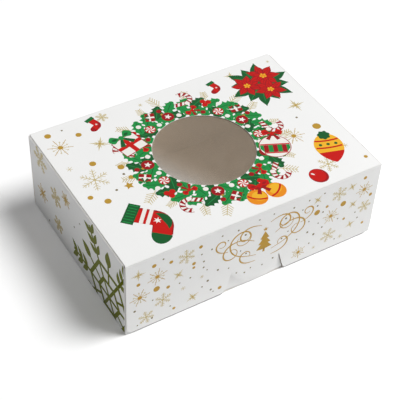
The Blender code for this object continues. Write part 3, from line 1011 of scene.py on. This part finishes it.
def pointed(pen, radius):
    """A flake made of a long star of four points on one of eight short ones."""
    pen.at(0, 90).fill(FINE, star(4, radius, 0.16))
    pen.at(0, 22.5).fill(FINE, star(8, 0.64 * radius, 0.26), 1)
    dot(pen, 0.22 * radius, "gold", 2)


def cross(pen, radius):
    """A small flake of three thin lines through one point."""
    for number in range(3):
        pen.at(0, 15 + 60 * number).stroke(FINE, [-radius, radius], 0.5, number)


def scatter(pen, places):
    """Draw each motif of a list of motifs, places and sizes, each turned further than the last."""
    for number, (motif, x, y, size) in enumerate(places):
        motif(pen.at(x + 1j * y, 17 * number), size)


def twig(pen, reach):
    """A fir twig along +x with five pairs of needles, shorter towards its tip."""
    pen.stroke(FINE, [0, reach], 0.6)
    for share in (0.24, 0.4, 0.56, 0.72, 0.88):
        branches(pen, share * reach, (0.42 - 0.2 * share) * reach, 50)


def cane(pen, reach, width):
    """A candy cane along +x, outlined: a shaft and a half circle with red bands round it."""
    hook = 1.6 * width
    total = reach + 1.15 * np.pi * hook

    def line(shares, aside=0.0):
        """Points along the cane at shares of its length, moved aside from its middle line."""
        run = shares * total
        angle = np.maximum(run - reach, 0) / hook
        middle = np.minimum(run, reach) + hook * (np.sin(angle) + 1j * (1 - np.cos(angle)))
        return middle + 1j * aside * np.exp(1j * angle)

    along = np.linspace(0, 1, 30)
    pen.stroke("dark_red", line(along), 1.22 * width)
    pen.stroke("white", line(along), width, 1)
    bands, skew = round(total / width), 0.2 * width / total
    for number in range(bands):
        along = np.linspace(number + 0.2, number + 0.7, 4) / bands
        near, far = line(along - skew, -width / 2), line(along + skew, width / 2)
        pen.fill("dark_red", np.concatenate([near, far[::-1]]), 2)


def bow(pen, across, ink="red", shade="dark_red"):
    """Two loops with hollows, two tails and a knot."""
    for degrees in (-58, -122):
        pen.at(0, degrees).stroke(shade, [0, 0.5 * across], [0.08 * across, 0.2 * across])
    for degrees in (14, 166):
        loop = pen.at(0, degrees, level=1)
        loop.fill(ink, petal(0.52 * across, 0.4 * across, 0.68))
        loop.fill(shade, 0.16 * across + petal(0.24 * across, 0.13 * across), 1)
    pen.fill(ink, oval(0.2 * across, 0.24 * across), 3)


def parcel(pen, size, paper="dark_red", ribbon="white"):
    """A wrapped parcel with crossed ribbons and a green bow on top."""
    pen.fill("dark_red", slab(size, 0.86 * size))
    pen.fill(paper, slab(0.94 * size, 0.8 * size), 1)
    pen.fill(ribbon, slab(0.18 * size, 0.82 * size), 2)
    pen.fill(ribbon, slab(0.96 * size, 0.16 * size), 3)
    bow(pen.at(0.45j * size, level=4), 0.95 * size, "green", "dark_green")


def ball(pen, across):
    """A round bauble with a cap and a star."""
    pen.fill("gold", slab(0.22 * across, 0.2 * across) + 0.54j * across)
    pen.fill("dark_red", ring(across, 26), 1)
    pen.at(0, 90).fill("white", star(5, 0.3 * across, 0.45), 2)


def banded_ball(pen, across):
    """A white bauble with a band of red and green stripes, a green cap and a red bow."""
    pen.fill("dark_green", slab(0.26 * across, 0.2 * across) + 0.54j * across)
    pen.fill("dark_red", ring(across, 40), 1)
    pen.fill("white", ring(0.95 * across, 40), 2)
    for number in range(7):
        sides = np.clip(0.14 * (number - 3.5 + np.array([0, 1])), -0.46, 0.46) * across
        foot = np.minimum(np.sqrt((0.47 * across) ** 2 - sides**2), 0.26 * across)
        stripe = np.append(sides - 1j * foot, sides[::-1] + 0.06j * across)
        pen.fill("dark_red" if number % 2 else "green", stripe, 3)
    for height in (0.09, -0.29):
        half = 0.46 * across * math.cos(math.asin(height / 0.48))
        pen.fill("red", slab(2 * half, 0.05 * across) + 1j * height * across, 4)
    bow(pen.at(0.6j * across, level=5), 0.66 * across)


def mint(pen, across):
    """A round sweet: six red swirls on white, each turned further towards the rim."""
    pen.fill("dark_red", ring(across, 26))
    pen.fill("white", ring(0.86 * across, 26), 1)
    share = np.linspace(0, 0.86, 6)
    for number in range(6):
        edge = share * np.exp(1j * (np.pi / 3 * number + 0.8 * share)) * across / 2
        outer = 0.86 * np.exp(1j * (np.pi / 3 * number + 0.8 * 0.86 + np.linspace(0.1, 0.42, 3)))
        back = (edge * np.exp(0.52j))[:0:-1]
        pen.fill("red", np.concatenate([edge, outer * across / 2, back]), 2)


def berries(pen, across):
    """Three berries in a bunch."""
    for number in range(3):
        spot = pen.at(0.55 * across * np.exp(2j * np.pi * number / 3))
        dot(spot, across, "red", number)


def golden_ball(pen, across):
    """A golden bauble that hangs along +x from its cap, with a lit side and a bowed band."""
    pen.fill("dark_red", slab(0.24 * across, 0.26 * across))
    body = pen.at(0.56 * across)
    body.fill("orange", ring(across, 30), 1)
    body.fill("yellow", 0.08 * across * (1j - 1) + oval(0.6 * across, 0.7 * across), 2)
    sway = np.linspace(-1, 1, 15)
    body.stroke("red", across * (0.12 * (1 - sway**2) + 0.47j * sway), 0.09 * across, 3)


def stocking(pen, height, patch, stripes=()):
    """A red stocking with its cuff up and its toe to the left, drawn about the line down its leg.

    The line runs straight down, through a quarter turn at the heel and on into the foot. The
    width of the stroke along it is the stocking's own, and a half oval closes the toe.
    """
    turn = np.exp(-1j * np.linspace(0, np.pi / 2, 9))
    foot = np.linspace(-0.2 - 0.2j, -0.36 - 0.22j, 4)[1:]
    line = np.concatenate([[0.44j, 0.3j, 0.15j], 0.2 * (turn - 1), foot]) * height
    half = np.exp(1j * np.linspace(np.pi / 2, 1.5 * np.pi, 14)) * height
    toe = 0.24 * half.real + 0.185j * half.imag
    pen.stroke("dark_red", line, 0.37 * height)
    pen.stroke("red", line - 0.015 * height, 0.33 * height, 1)
    for place in stripes:
        pen.fill("white", height * (slab(0.37, 0.07) + 1j * place), 2)
    pen.fill(patch, (foot[-1] + 0.01) * height + toe, 2)
    heel = (0.31 * turn - 0.2) * height
    pen.stroke(patch, heel, 0.15 * height * np.sin(np.linspace(0.05, np.pi - 0.05, 9)), 3)
    pen.at((-0.05 - 0.07j) * height).fill("white", star(6, 0.08 * height, 0.4), 2)
    cuff = pen.at(0.42j * height, -4)
    cuff.fill("dark_green", height * slab(0.5, 0.22), 3)
    for number in range(-3, 4):
        rib = 0.07 * number * height
        cuff.stroke("green", [rib - 0.08j * height, rib + 0.08j * height], 0.018 * height, 4)


def bloom(pen, radius):
    """A poinsettia flower: two rings of veined petals about yellow beads."""
    for level, count, share, turn in ((0, 7, 1.0, 0), (3, 6, 0.66, 25)):
        for number in range(count):
            leaf = pen.at(0, turn + 360 * number / count, level=level)
            reach = radius * share
            leaf.fill("dark_red", wedge_petal(reach, 0.5 * reach, count))
            leaf.fill("red", 0.06 * reach + wedge_petal(0.9 * reach, 0.34 * reach, count), 1)
            leaf.stroke("dark_red", [0.3 * reach, 0.8 * reach], 0.4, 2)
    for number in range(5):
        dot(pen.at(0.14 * radius * np.exp(0.4j * np.pi * number)), 0.14 * radius, "yellow", 6)
    dot(pen, 0.16 * radius, "orange", 7)


def poinsettias(pen):
    """Three flowers on a spray of pointed leaves."""
    for number in range(12):
        leaf = pen.at(0, 30 * number + 9)
        leaf.fill("dark_green", petal(27 - 4 * (number % 2), 9, 0.6, 1.4), number % 2)
        leaf.stroke("green", [6, 21], 0.4, 2)
    dot(pen, 11, "dark_green", 2)
    for level, x, y, radius in ((3, -10, 3, 13), (11, 8, 8, 14), (19, 4, -9, 13)):
        bloom(pen.at(x + 1j * y, 30 * x, level=level), radius)


def drop_bauble(pen, reach, width):
    """A drop-shaped bauble along +x: a yellow body with bowed bands, a red tip and a green cap."""
    pen.fill("yellow", drop(reach, width))
    pen.fill("red", drop(reach, width, 0.64), 1)
    pen.fill("dark_green", rosette(0.42 * width, 7) + 0.06 * reach, 1)
    sway = np.linspace(-1, 1, 15)
    for share in (0.26, 0.5):
        half = 0.46 * width * drop_half(share)
        pen.stroke("red", reach * (share - 0.03 * sway**2) + 1j * half * sway, 0.07 * width, 2)
    for number in (-1, 0, 1):
        dot(pen.at(0.38 * reach + 0.27j * number * width), 0.12 * width, "dark_green", 3)


def wreath(pen):
    """A ring of holly round the window, with sweets, baubles, parcels and berries laid on it."""
    for number in range(20):
        spot = 56 * np.exp(1j * math.radians(18 * number + 4))
        twig(pen.at(spot, 18 * number + (20 if number % 2 else -16)), 10 + 2 * (number % 3))
    for count, radius, tilt, level in ((27, 38.6, 56, 2), (30, 47.5, -50, 8)):
        for number in range(count):
            turn = 360 * number / count
            leaf = pen.at(radius * np.exp(1j * math.radians(turn)), turn + tilt)
            leaf = leaf.at(0, level=level + 2 * (number % 3))
            inks = ("green", "dark_green") if number % 3 else ("dark_green", "green")
            leaf.fill(inks[0], holly(16, 11.2))
            leaf.stroke(inks[1], [1.6, 13.76], 0.5, 1)
    laid = (cane, ball, parcel, mint, berries, bow)
    sizes = {cane: (9, 3.4), ball: (9.5,), parcel: (9,), mint: (8.5,), berries: (4.4,), bow: (12,)}
    for number in range(28):
        turn = 360 / 28 * number + 7
        motif = laid[number % 6]
        spot = (44.5 if number % 2 else 53) * np.exp(1j * math.radians(turn))
        spot = pen.at(spot, turn - 90 + 25 * (number % 3), level=14 + 8 * (number % 2))
        motif(spot, *sizes[motif])
        loose = (53.5 if number % 2 else 42) * np.exp(1j * math.radians(turn + 2))
        dot(pen.at(loose), 4, ("white", "dark_red", "white")[number % 3], 30)


def draw_lid(pen):
    """The wreath, flakes and dots, and festive motifs towards the corners."""
    wreath(pen)
    scatter(Pen(pen.shapes, level=2, weight=0.75), (
        (dot, -93.5, 66.4, 5), (dot, -73, 57.3, 4.5), (dot, -78.1, 24.3, 5), (dot, -62, 11.7, 5),
        (dot, -95, -6, 4), (dot, -86, -14.8, 5), (dot, -60.5, -1, 4), (dot, 86.9, -17.9, 6.5),
        (dot, -81.7, 67.4, 1.5), (dot, -63.7, 4.3, 2), (dot, -75.6, -7.8, 2),
        (dot, 79.4, -2.4, 1.8), (dot, 98.9, -62.9, 3), (spoked, -90.7, 50.7, 9.5),
        (pointed, -63.9, 41.1, 8), (branched, -84.3, 8.6, 11), (pointed, 87, 10, 8),
        (spoked, 65.5, -19, 9), (branched, 70, -56.4, 8), (branched, -49, 67, 5),
        (pointed, 62, 64, 6), (cross, 92.9, -45.7, 2.5), (cross, -95, 27, 2.5),
        (cross, -17, 66, 1.8), (cross, 98, 66, 1.5),
    ))
    pen.at(-65.9 - 7.9j, 90, level=2).fill("gold", star(5, 3.9, 0.5))
    parcel(pen.at(-45 + 30j, 14, level=31), 21, "white", "red")
    banded_ball(pen.at(47 - 22j, -24, level=34), 24)
    for side in (-1, 1):
        golden_ball(pen.at(14.3 + 3 * side - 54j, -90 + 34 * side, level=33 + 2 * side), 15)
    bow(pen.at(14 - 52j, level=40), 17)
    poinsettias(pen.at(77 + 44.5j, level=6))
    stocking(pen.at(-56 + 63j, 24, level=14), 15, "dark_red")
    stocking(pen.at(45 + 58j, 20, level=14), 14, "dark_red")
    stocking(pen.at(-66 - 44j, 49, level=14), 39, "dark_green", (0.2, 0.08))
    drop_bauble(pen.at(86 - 27j, -106, level=14), 32, 22)
    for level, (ink, size, shift) in enumerate((("dark_red", 1.0, 0), ("red", 0.86, -0.5 + 0.6j))):
        pen.at(57 - 63.3j + shift, 20, level=14).fill(ink, size * oval(13.5, 15), level)
    pen.at(54 - 60j, 35, level=16).fill("white", oval(1.4, 3))


def ornament(pen):
    """A fir tree between two sprays of scrolls, with beads about them."""
    for number, (base, half, rise) in enumerate(((-9, 6.5, 8.5), (-4, 5.2, 7.5), (1, 3.8, 7))):
        tier = np.array([-half, -0.3 * half - 0.7j, 0.3 * half - 0.7j, half, 1j * rise])
        pen.fill("gold", tier + 1j * base, number)
    pen.fill("gold", slab(1.8, 3.5) - 10.8j)
    pen.at(10j, 90).fill("gold", star(5, 2.2, 0.45), 3)
    swells = 0.4 + 0.8 * np.sin(np.pi * np.linspace(0.04, 0.97, 60)) ** 1.5
    scrolls = (
        (5 - 13j, 14, 1.3, 82), (8 + 2j, 34, -1.15, 60), (6 - 18.5j, 2, 0.85, 34),
        (30 + 2j, 14, 1.1, 33), (3 + 15j, 24, -0.95, 38),
    )
    for number, (start, heading, turns, reach) in enumerate(scrolls):
        path = curl(start, heading, turns, reach)
        pen.stroke("gold", path, swells, 4 + number)
        pen.stroke("gold", -np.conj(path[::-1]), swells[::-1], 4 + number)
    beads = (
        (16.8, 12.6, 1.8), (23, 20, 1.6), (38, -12, 1.8), (50, 3, 1.6), (15, -7, 1.5),
        (31, 14, 1.2), (44, 12, 1.5), (29, -15, 1.3), (20, -2, 1.2), (47, -7, 1.2), (6, 22, 1.3),
        (36, 21, 1.4),
    )
    for x, y, across in beads:
        for side in (-1, 1):
            dot(pen.at(side * x + 1j * y), across, "bronze", 9)


def draw_front(pen):
    """Flakes and dots on both sides of an ornament."""
    scatter(Pen(pen.shapes, weight=0.75), (
        (pointed, -95, 57, 6), (spoked, -80.5, 48, 8), (branched, -58, 56, 7),
        (pointed, -64, 41, 5.5), (spoked, -94, 34, 8), (branched, -76, 22, 7),
        (branched, -89, 11, 6.5), (pointed, -52, 11.5, 6), (pointed, 49.5, 59, 5),
        (branched, 69, 56, 7), (spoked, 64, 36, 7.5), (spoked, 92, 50, 7.5), (pointed, 80, 58, 5),
        (pointed, 83.5, 39, 5), (branched, 95, 32, 6), (branched, 64, 16, 7), (spoked, 38, 11, 6.5),
        (pointed, 84, 18, 5), (dot, -83, 60, 3.4), (dot, -70, 57, 3), (dot, -47, 60, 3),
        (dot, -95, 47.5, 3), (dot, -81, 36, 5), (dot, -72, 33, 3), (dot, -52, 46, 3),
        (dot, -52, 42, 2.4), (dot, 50.5, 46, 5), (dot, 59, 48, 2.6), (dot, 74, 44, 5),
        (dot, 91, 62, 3), (dot, 99, 42, 3), (dot, -67, 8, 2.6), (dot, -40, 22, 2),
        (dot, 77, 27, 2.4), (dot, 96, 14, 2.6), (dot, 50, 24, 2), (dot, -29.5, 9, 3.2),
        (dot, -98, 22, 2), (dot, -76, 63, 1.4), (dot, -63, 32, 1.3), (dot, -54.5, 33, 1.5),
        (dot, -46, 52, 1.4), (dot, -44, 38, 1.6), (dot, -44.5, 18, 1.4), (dot, -37, 11, 1.8),
        (dot, -35, 8, 1.2), (dot, -70, 12, 1.3), (dot, -84, 26, 1.3), (dot, -84.5, 7.5, 1.8),
        (dot, -96, 6, 1.3), (dot, 55, 63, 1.4), (dot, 44, 40, 1.3), (dot, 57, 28, 1.6),
        (dot, 71, 30, 1.3), (dot, 87, 29, 1.3), (dot, 90, 22, 1.5), (dot, 71, 8.5, 1.3),
        (dot, 47, 16, 1.4), (cross, -60, 25, 2), (cross, -45, 29, 1.6), (cross, 52, 9, 1.6),
        (cross, 76, 9, 2),
    ))
    ornament(pen.at(6 + 41j))


def draw_tongue(pen):
    """A few dots, which carry on those of the front."""
    scatter(pen, (
        (dot, -16, 17.3, 1.4), (dot, 15, 16.9, 1.6), (dot, -4, 16.5, 1.3), (dot, 6, 14.5, 1.3),
        (dot, -9, 14, 1.5),
    ))


def great_flake(pen):
    """Six arms joined by two rings of bars, with forked outer branches and spear points between."""
    ink = "olive"
    dot(pen, 6.4, ink)
    for number in range(6):
        arm = pen.at(0, 60 * number)
        arm.stroke(ink, [3.2, 55], 2.6, 1)
        for level, radius in ((2, 15), (4, 28)):
            bar = [radius, radius * np.exp(1j * np.pi / 3)]
            arm.stroke(ink, bar, 3.2, level + number % 2)
        for foot in (33, 41, 49):
            for slant in (-1, 1):
                stem = arm.at(foot + 0.9j * slant, 42 * slant)
                stem.fill(ink, slab(1.6, 1.6) + 1.6, 6)
                stem.fill(ink, petal(11, 5, 0.4), 7)
        between = pen.at(0, 60 * number + 30)
        between.stroke(ink, [13, 34], 2.2, 8)
        between.fill(ink, 31 + petal(15, 8.5, 0.4), 9)


def draw_side(pen):
    """Flakes towards the back, and one great green flake that runs off the front corner."""
    scatter(Pen(pen.shapes, weight=2), (
        (branched, -56.2, 60, 11), (spoked, -14.3, 55, 7), (branched, -32.3, 42.3, 9),
        (spoked, -56.8, 26, 8.5), (branched, -30.7, 15.7, 7.5), (dot, 7.3, 50.2, 1.6),
        (dot, -2.3, 38.6, 1.6), (dot, -47.7, 5.1, 1.8),
    ))
    great_flake(pen.at(50.4 + 15.7j, 180))


def draw_back(pen):
    """Flakes and dots all over the back."""
    scatter(pen, (
        (spoked, -86, 50, 8), (branched, -66, 22, 8), (pointed, -48, 54, 6), (spoked, -28, 33, 7.5),
        (branched, -4, 52, 8), (pointed, 12, 17, 6), (branched, 33, 40, 7.5), (spoked, 57, 19, 8),
        (pointed, 70, 54, 6), (branched, 89, 34, 8), (dot, -95, 24, 4.5), (dot, -72, 42, 3.4),
        (dot, -45, 12, 4), (dot, -12, 24, 3), (dot, 16, 44, 4.5), (dot, 40, 13, 3),
        (dot, 53, 45, 4), (dot, 78, 14, 4.5), (dot, 94, 57, 3), (cross, -30, 57, 2),
        (cross, 24, 60, 2), (cross, -84, 9, 2), (cross, 74, 36, 2),
    ))


def draw_far_side(pen):
    """Flakes and dots all over the right side."""
    scatter(pen, (
        (branched, 54, 48, 10), (pointed, 33, 55, 6), (spoked, 30, 28, 8), (branched, 4, 46, 8.5),
        (pointed, -8, 16, 6.5), (spoked, -30, 50, 8), (branched, -52, 24, 9), (dot, 56, 20, 5),
        (dot, 12, 22, 3.4), (dot, -14, 34, 4.5), (dot, -36, 14, 3), (dot, -60, 52, 4),
        (cross, 16, 8, 2), (cross, -62, 8, 2),
    ))


def cut_off(mesh, place, way):
    """Cut away what lies past a plane and close the cuts."""
    solid = bmesh.new()
    solid.from_mesh(mesh)
    parts = solid.verts[:] + solid.edges[:] + solid.faces[:]
    bmesh.ops.bisect_plane(solid, geom=parts, plane_co=place, plane_no=way, clear_outer=True)
    bmesh.ops.holes_fill(solid, edges=[edge for edge in solid.edges if edge.is_boundary], sides=0)
    solid.to_mesh(mesh)
    solid.free()


def print_face(board, name, body, origin, right, up, draw, edges=(), clear=0.0):
    """Print a drawing on a face as thin plates of ink, one piece for each ink.

    Every plate has its cells on top and, turned over, underneath, and a rim of quads between. It
    ends just below the face. Points within the clear radius of the origin move out onto it, and
    what passes an edge, given as a direction and a distance, is cut off there.
    """
    shapes = {}
    draw(Pen(shapes))
    right, up = Vector(right), Vector(up)
    out = right.cross(up)
    axes = np.array([right, up, out])
    for ink, plates in shapes.items():
        points, faces, count = [], [], 0
        for outline, cells, level in plates:
            outline = outline * np.maximum(clear / abs(outline + 1e-9), 1)
            size = len(outline)
            rise = np.repeat([level + 1, -1], size) * board.print_room / LEVELS
            flat = np.tile(outline, 2) * MM
            points.append(np.column_stack([flat.real, flat.imag, rise]) @ axes)
            near = np.arange(size)
            far = np.roll(near, -1)
            rim = np.stack([near, near + size, far + size, far], axis=1)
            for group in (cells, cells[:, ::-1] + size, rim):
                faces += (group + count).tolist()
            count += 2 * size
        points = np.concatenate(points) + np.array(origin)
        piece = new_piece(f"{name}_{ink}", points, faces, [look(ink)])
        for way, distance in edges:
            way = Vector(way)
            cut_off(piece.data, Vector(origin) + way * distance, way)
        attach(piece, body)


def print_box(board):
    """Print every outer face."""
    room = board.print_room
    margin = 0.03
    up = (0, 0, 1)
    lid_top = (0, 0, CAD_HIGH.z - room)
    clear = (board.window + room) / MM + margin
    print_face(board, "lid_print", "lid", lid_top, (1, 0, 0), (0, 1, 0), draw_lid, clear=clear)
    front = (0, CAD_LOW.y + room, 0)
    print_face(board, "front_print", "front_flap", front, (1, 0, 0), up, draw_front)
    print_face(board, "tongue_print", "locking_tongue", front, (1, 0, 0), up, draw_tongue)
    left = (CAD_LOW.x + room, 0, 0)
    low, high = side_span(board)
    edges = (
        (up, SIDE_TOP - board.wall_drop), ((0, 0, -1), -board.fold),
        ((0, 1, 0), high), ((0, -1, 0), -low),
    )
    print_face(board, "left_print", "tray", left, (0, -1, 0), up, draw_side, edges)
    right = (CAD_HIGH.x - room, 0, 0)
    print_face(board, "right_print", "tray", right, (0, 1, 0), up, draw_far_side, edges)
    back = (0, CAD_HIGH.y - room, 0)
    print_face(board, "back_print", "tray", back, (-1, 0, 0), up, draw_back)


def light_sky(studio):
    """An even light from all round, and white behind the box wherever it is seen."""
    world = bpy.data.worlds.new("sky")
    bpy.context.scene.world = world
    recipe = Recipe(world)
    strength = studio.sky + recipe.seen() * (1 - studio.sky)
    light = recipe.node("ShaderNodeBackground", {}, {"Color": (1, 1, 1, 1), "Strength": strength})
    recipe.node("ShaderNodeOutputWorld", {}, {"Surface": light})


def lay_floor(studio):
    """A square grid just below the box: white where it is seen, a little darker as it lights."""
    recipe = new_recipe("studio_floor")
    seen = recipe.seen()
    pale = [share * 0.99 for share in studio.floor]
    shown = recipe.mix(recipe.noise(90) * 0.5, studio.floor, pale)
    recipe.finish({
        "Base Color": recipe.mix(seen, studio.floor_bounce, shown),
        "Roughness": 0.9,
        "Specular IOR Level": 0.0,
        "Emission Color": recipe.mix(seen, (0, 0, 0), studio.floor_glow),
        "Emission Strength": 1.0,
    })
    reach, steps, below = 3.0, 9, -0.00004
    x, y = np.meshgrid(np.linspace(-reach, reach, steps), np.linspace(-reach, reach, steps))
    points = np.column_stack([x.ravel(), y.ravel(), np.full(x.size, below)])
    first = (np.arange(steps - 1)[:, None] * steps + np.arange(steps - 1)).ravel()
    faces = np.column_stack([first, first + 1, first + steps + 1, first + steps])
    floor = new_piece("studio_floor", points, faces.tolist(), [recipe.owner])


def hang_lamps(studio):
    """A weak lamp to the right of the box, and a soft one above."""
    fill = bpy.data.lights.new("fill_lamp", "POINT")
    fill.energy = studio.fill
    fill.shadow_soft_size = studio.fill_radius
    new_object("fill_lamp", fill).location = studio.fill_place
    lamp = bpy.data.lights.new("soft_lamp", "SUN")
    lamp.energy = studio.lamp
    lamp.angle = studio.lamp_spread
    holder = new_object("soft_lamp", lamp)
    holder.rotation_mode = "QUATERNION"
    holder.rotation_quaternion = studio.lamp_from.to_track_quat("Z", "Y")


def set_camera(studio):
    """The camera, aimed at a point and tilted about its view."""
    eye = bpy.data.cameras.new("camera")
    eye.lens = studio.focal
    camera = new_object("camera", eye)
    aim = studio.camera_aim - studio.camera_place
    roll = Quaternion((0, 0, 1), studio.camera_roll)
    camera.location = studio.camera_place
    camera.rotation_mode = "QUATERNION"
    camera.rotation_quaternion = aim.to_track_quat("-Z", "Y") @ roll
    bpy.context.scene.camera = camera


class COOKIEBOX_OT_tray(bpy.types.Operator):
    """Build the tray: base, walls and glued corner tabs"""

    bl_idname = "cookiebox.tray"
    bl_label = "Tray"

    def execute(self, context):
        build_tray(context.scene.cookie_box_board)
        return {"FINISHED"}


class COOKIEBOX_OT_lid(bpy.types.Operator):
    """Build the lid board and finish the film under its window"""

    bl_idname = "cookiebox.lid"
    bl_label = "Lid"

    def execute(self, context):
        build_lid(context.scene.cookie_box_board)
        return {"FINISHED"}


class COOKIEBOX_OT_flaps(bpy.types.Operator):
    """Build the front flap, its locking tongue and the dust flaps"""

    bl_idname = "cookiebox.flaps"
    bl_label = "Flaps"

    def execute(self, context):
        board = context.scene.cookie_box_board
        build_flap(board)
        build_tongue(board)
        build_dust_flaps(board)
        return {"FINISHED"}


class COOKIEBOX_OT_creases(bpy.types.Operator):
    """Build the creases between the lid, the tray and the flaps"""

    bl_idname = "cookiebox.creases"
    bl_label = "Creases"

    def execute(self, context):
        build_creases(context.scene.cookie_box_board)
        return {"FINISHED"}


class COOKIEBOX_OT_print(bpy.types.Operator):
    """Print the outer faces"""

    bl_idname = "cookiebox.print"
    bl_label = "Print"

    def execute(self, context):
        print_box(context.scene.cookie_box_board)
        return {"FINISHED"}


class COOKIEBOX_OT_studio(bpy.types.Operator):
    """Set up the floor, the light and the camera"""

    bl_idname = "cookiebox.studio"
    bl_label = "Studio"

    def execute(self, context):
        context.scene.view_settings.view_transform = "Standard"
        studio = context.scene.cookie_box_studio
        light_sky(studio)
        lay_floor(studio)
        hang_lamps(studio)
        set_camera(studio)
        return {"FINISHED"}


OPERATORS = (
    COOKIEBOX_OT_tray,
    COOKIEBOX_OT_lid,
    COOKIEBOX_OT_flaps,
    COOKIEBOX_OT_creases,
    COOKIEBOX_OT_print,
    COOKIEBOX_OT_studio,
)


SETTINGS = {
    "cookie_box_board": CookieBoxBoard,
    "cookie_box_inks": CookieBoxInks,
    "cookie_box_studio": CookieBoxStudio,
}


class COOKIEBOX_PT_panel(bpy.types.Panel):
    """The steps that build the cookie box, in order, and its sizes and colours"""

    bl_label = "Cookie Box"
    bl_space_type = "VIEW_3D"
    bl_region_type = "UI"
    bl_category = "Cookie Box"

    def draw(self, context):
        """One button for each step, then the values of each group."""
        for operator in OPERATORS:
            self.layout.operator(operator.bl_idname)
        for group, kind in SETTINGS.items():
            self.layout.label(text=kind.__doc__)
            for name in kind.__annotations__:
                self.layout.prop(getattr(context.scene, group), name)


CLASSES = (*SETTINGS.values(), *OPERATORS, COOKIEBOX_PT_panel)


def register():
    """Add the settings, the steps and the panel."""
    for kind in CLASSES:
        bpy.utils.register_class(kind)
    for name, kind in SETTINGS.items():
        setattr(bpy.types.Scene, name, PointerProperty(type=kind))


def unregister():
    """Take the settings, the steps and the panel away again."""
    for name in SETTINGS:
        delattr(bpy.types.Scene, name)
    for kind in reversed(CLASSES):
        bpy.utils.unregister_class(kind)


def main():
    """Build the box and its stage."""
    register()
    bpy.ops.cookiebox.tray()
    bpy.ops.cookiebox.lid()
    bpy.ops.cookiebox.flaps()
    bpy.ops.cookiebox.creases()
    bpy.ops.cookiebox.print()
    bpy.ops.cookiebox.studio()


if __name__ == "__main__":
    main()
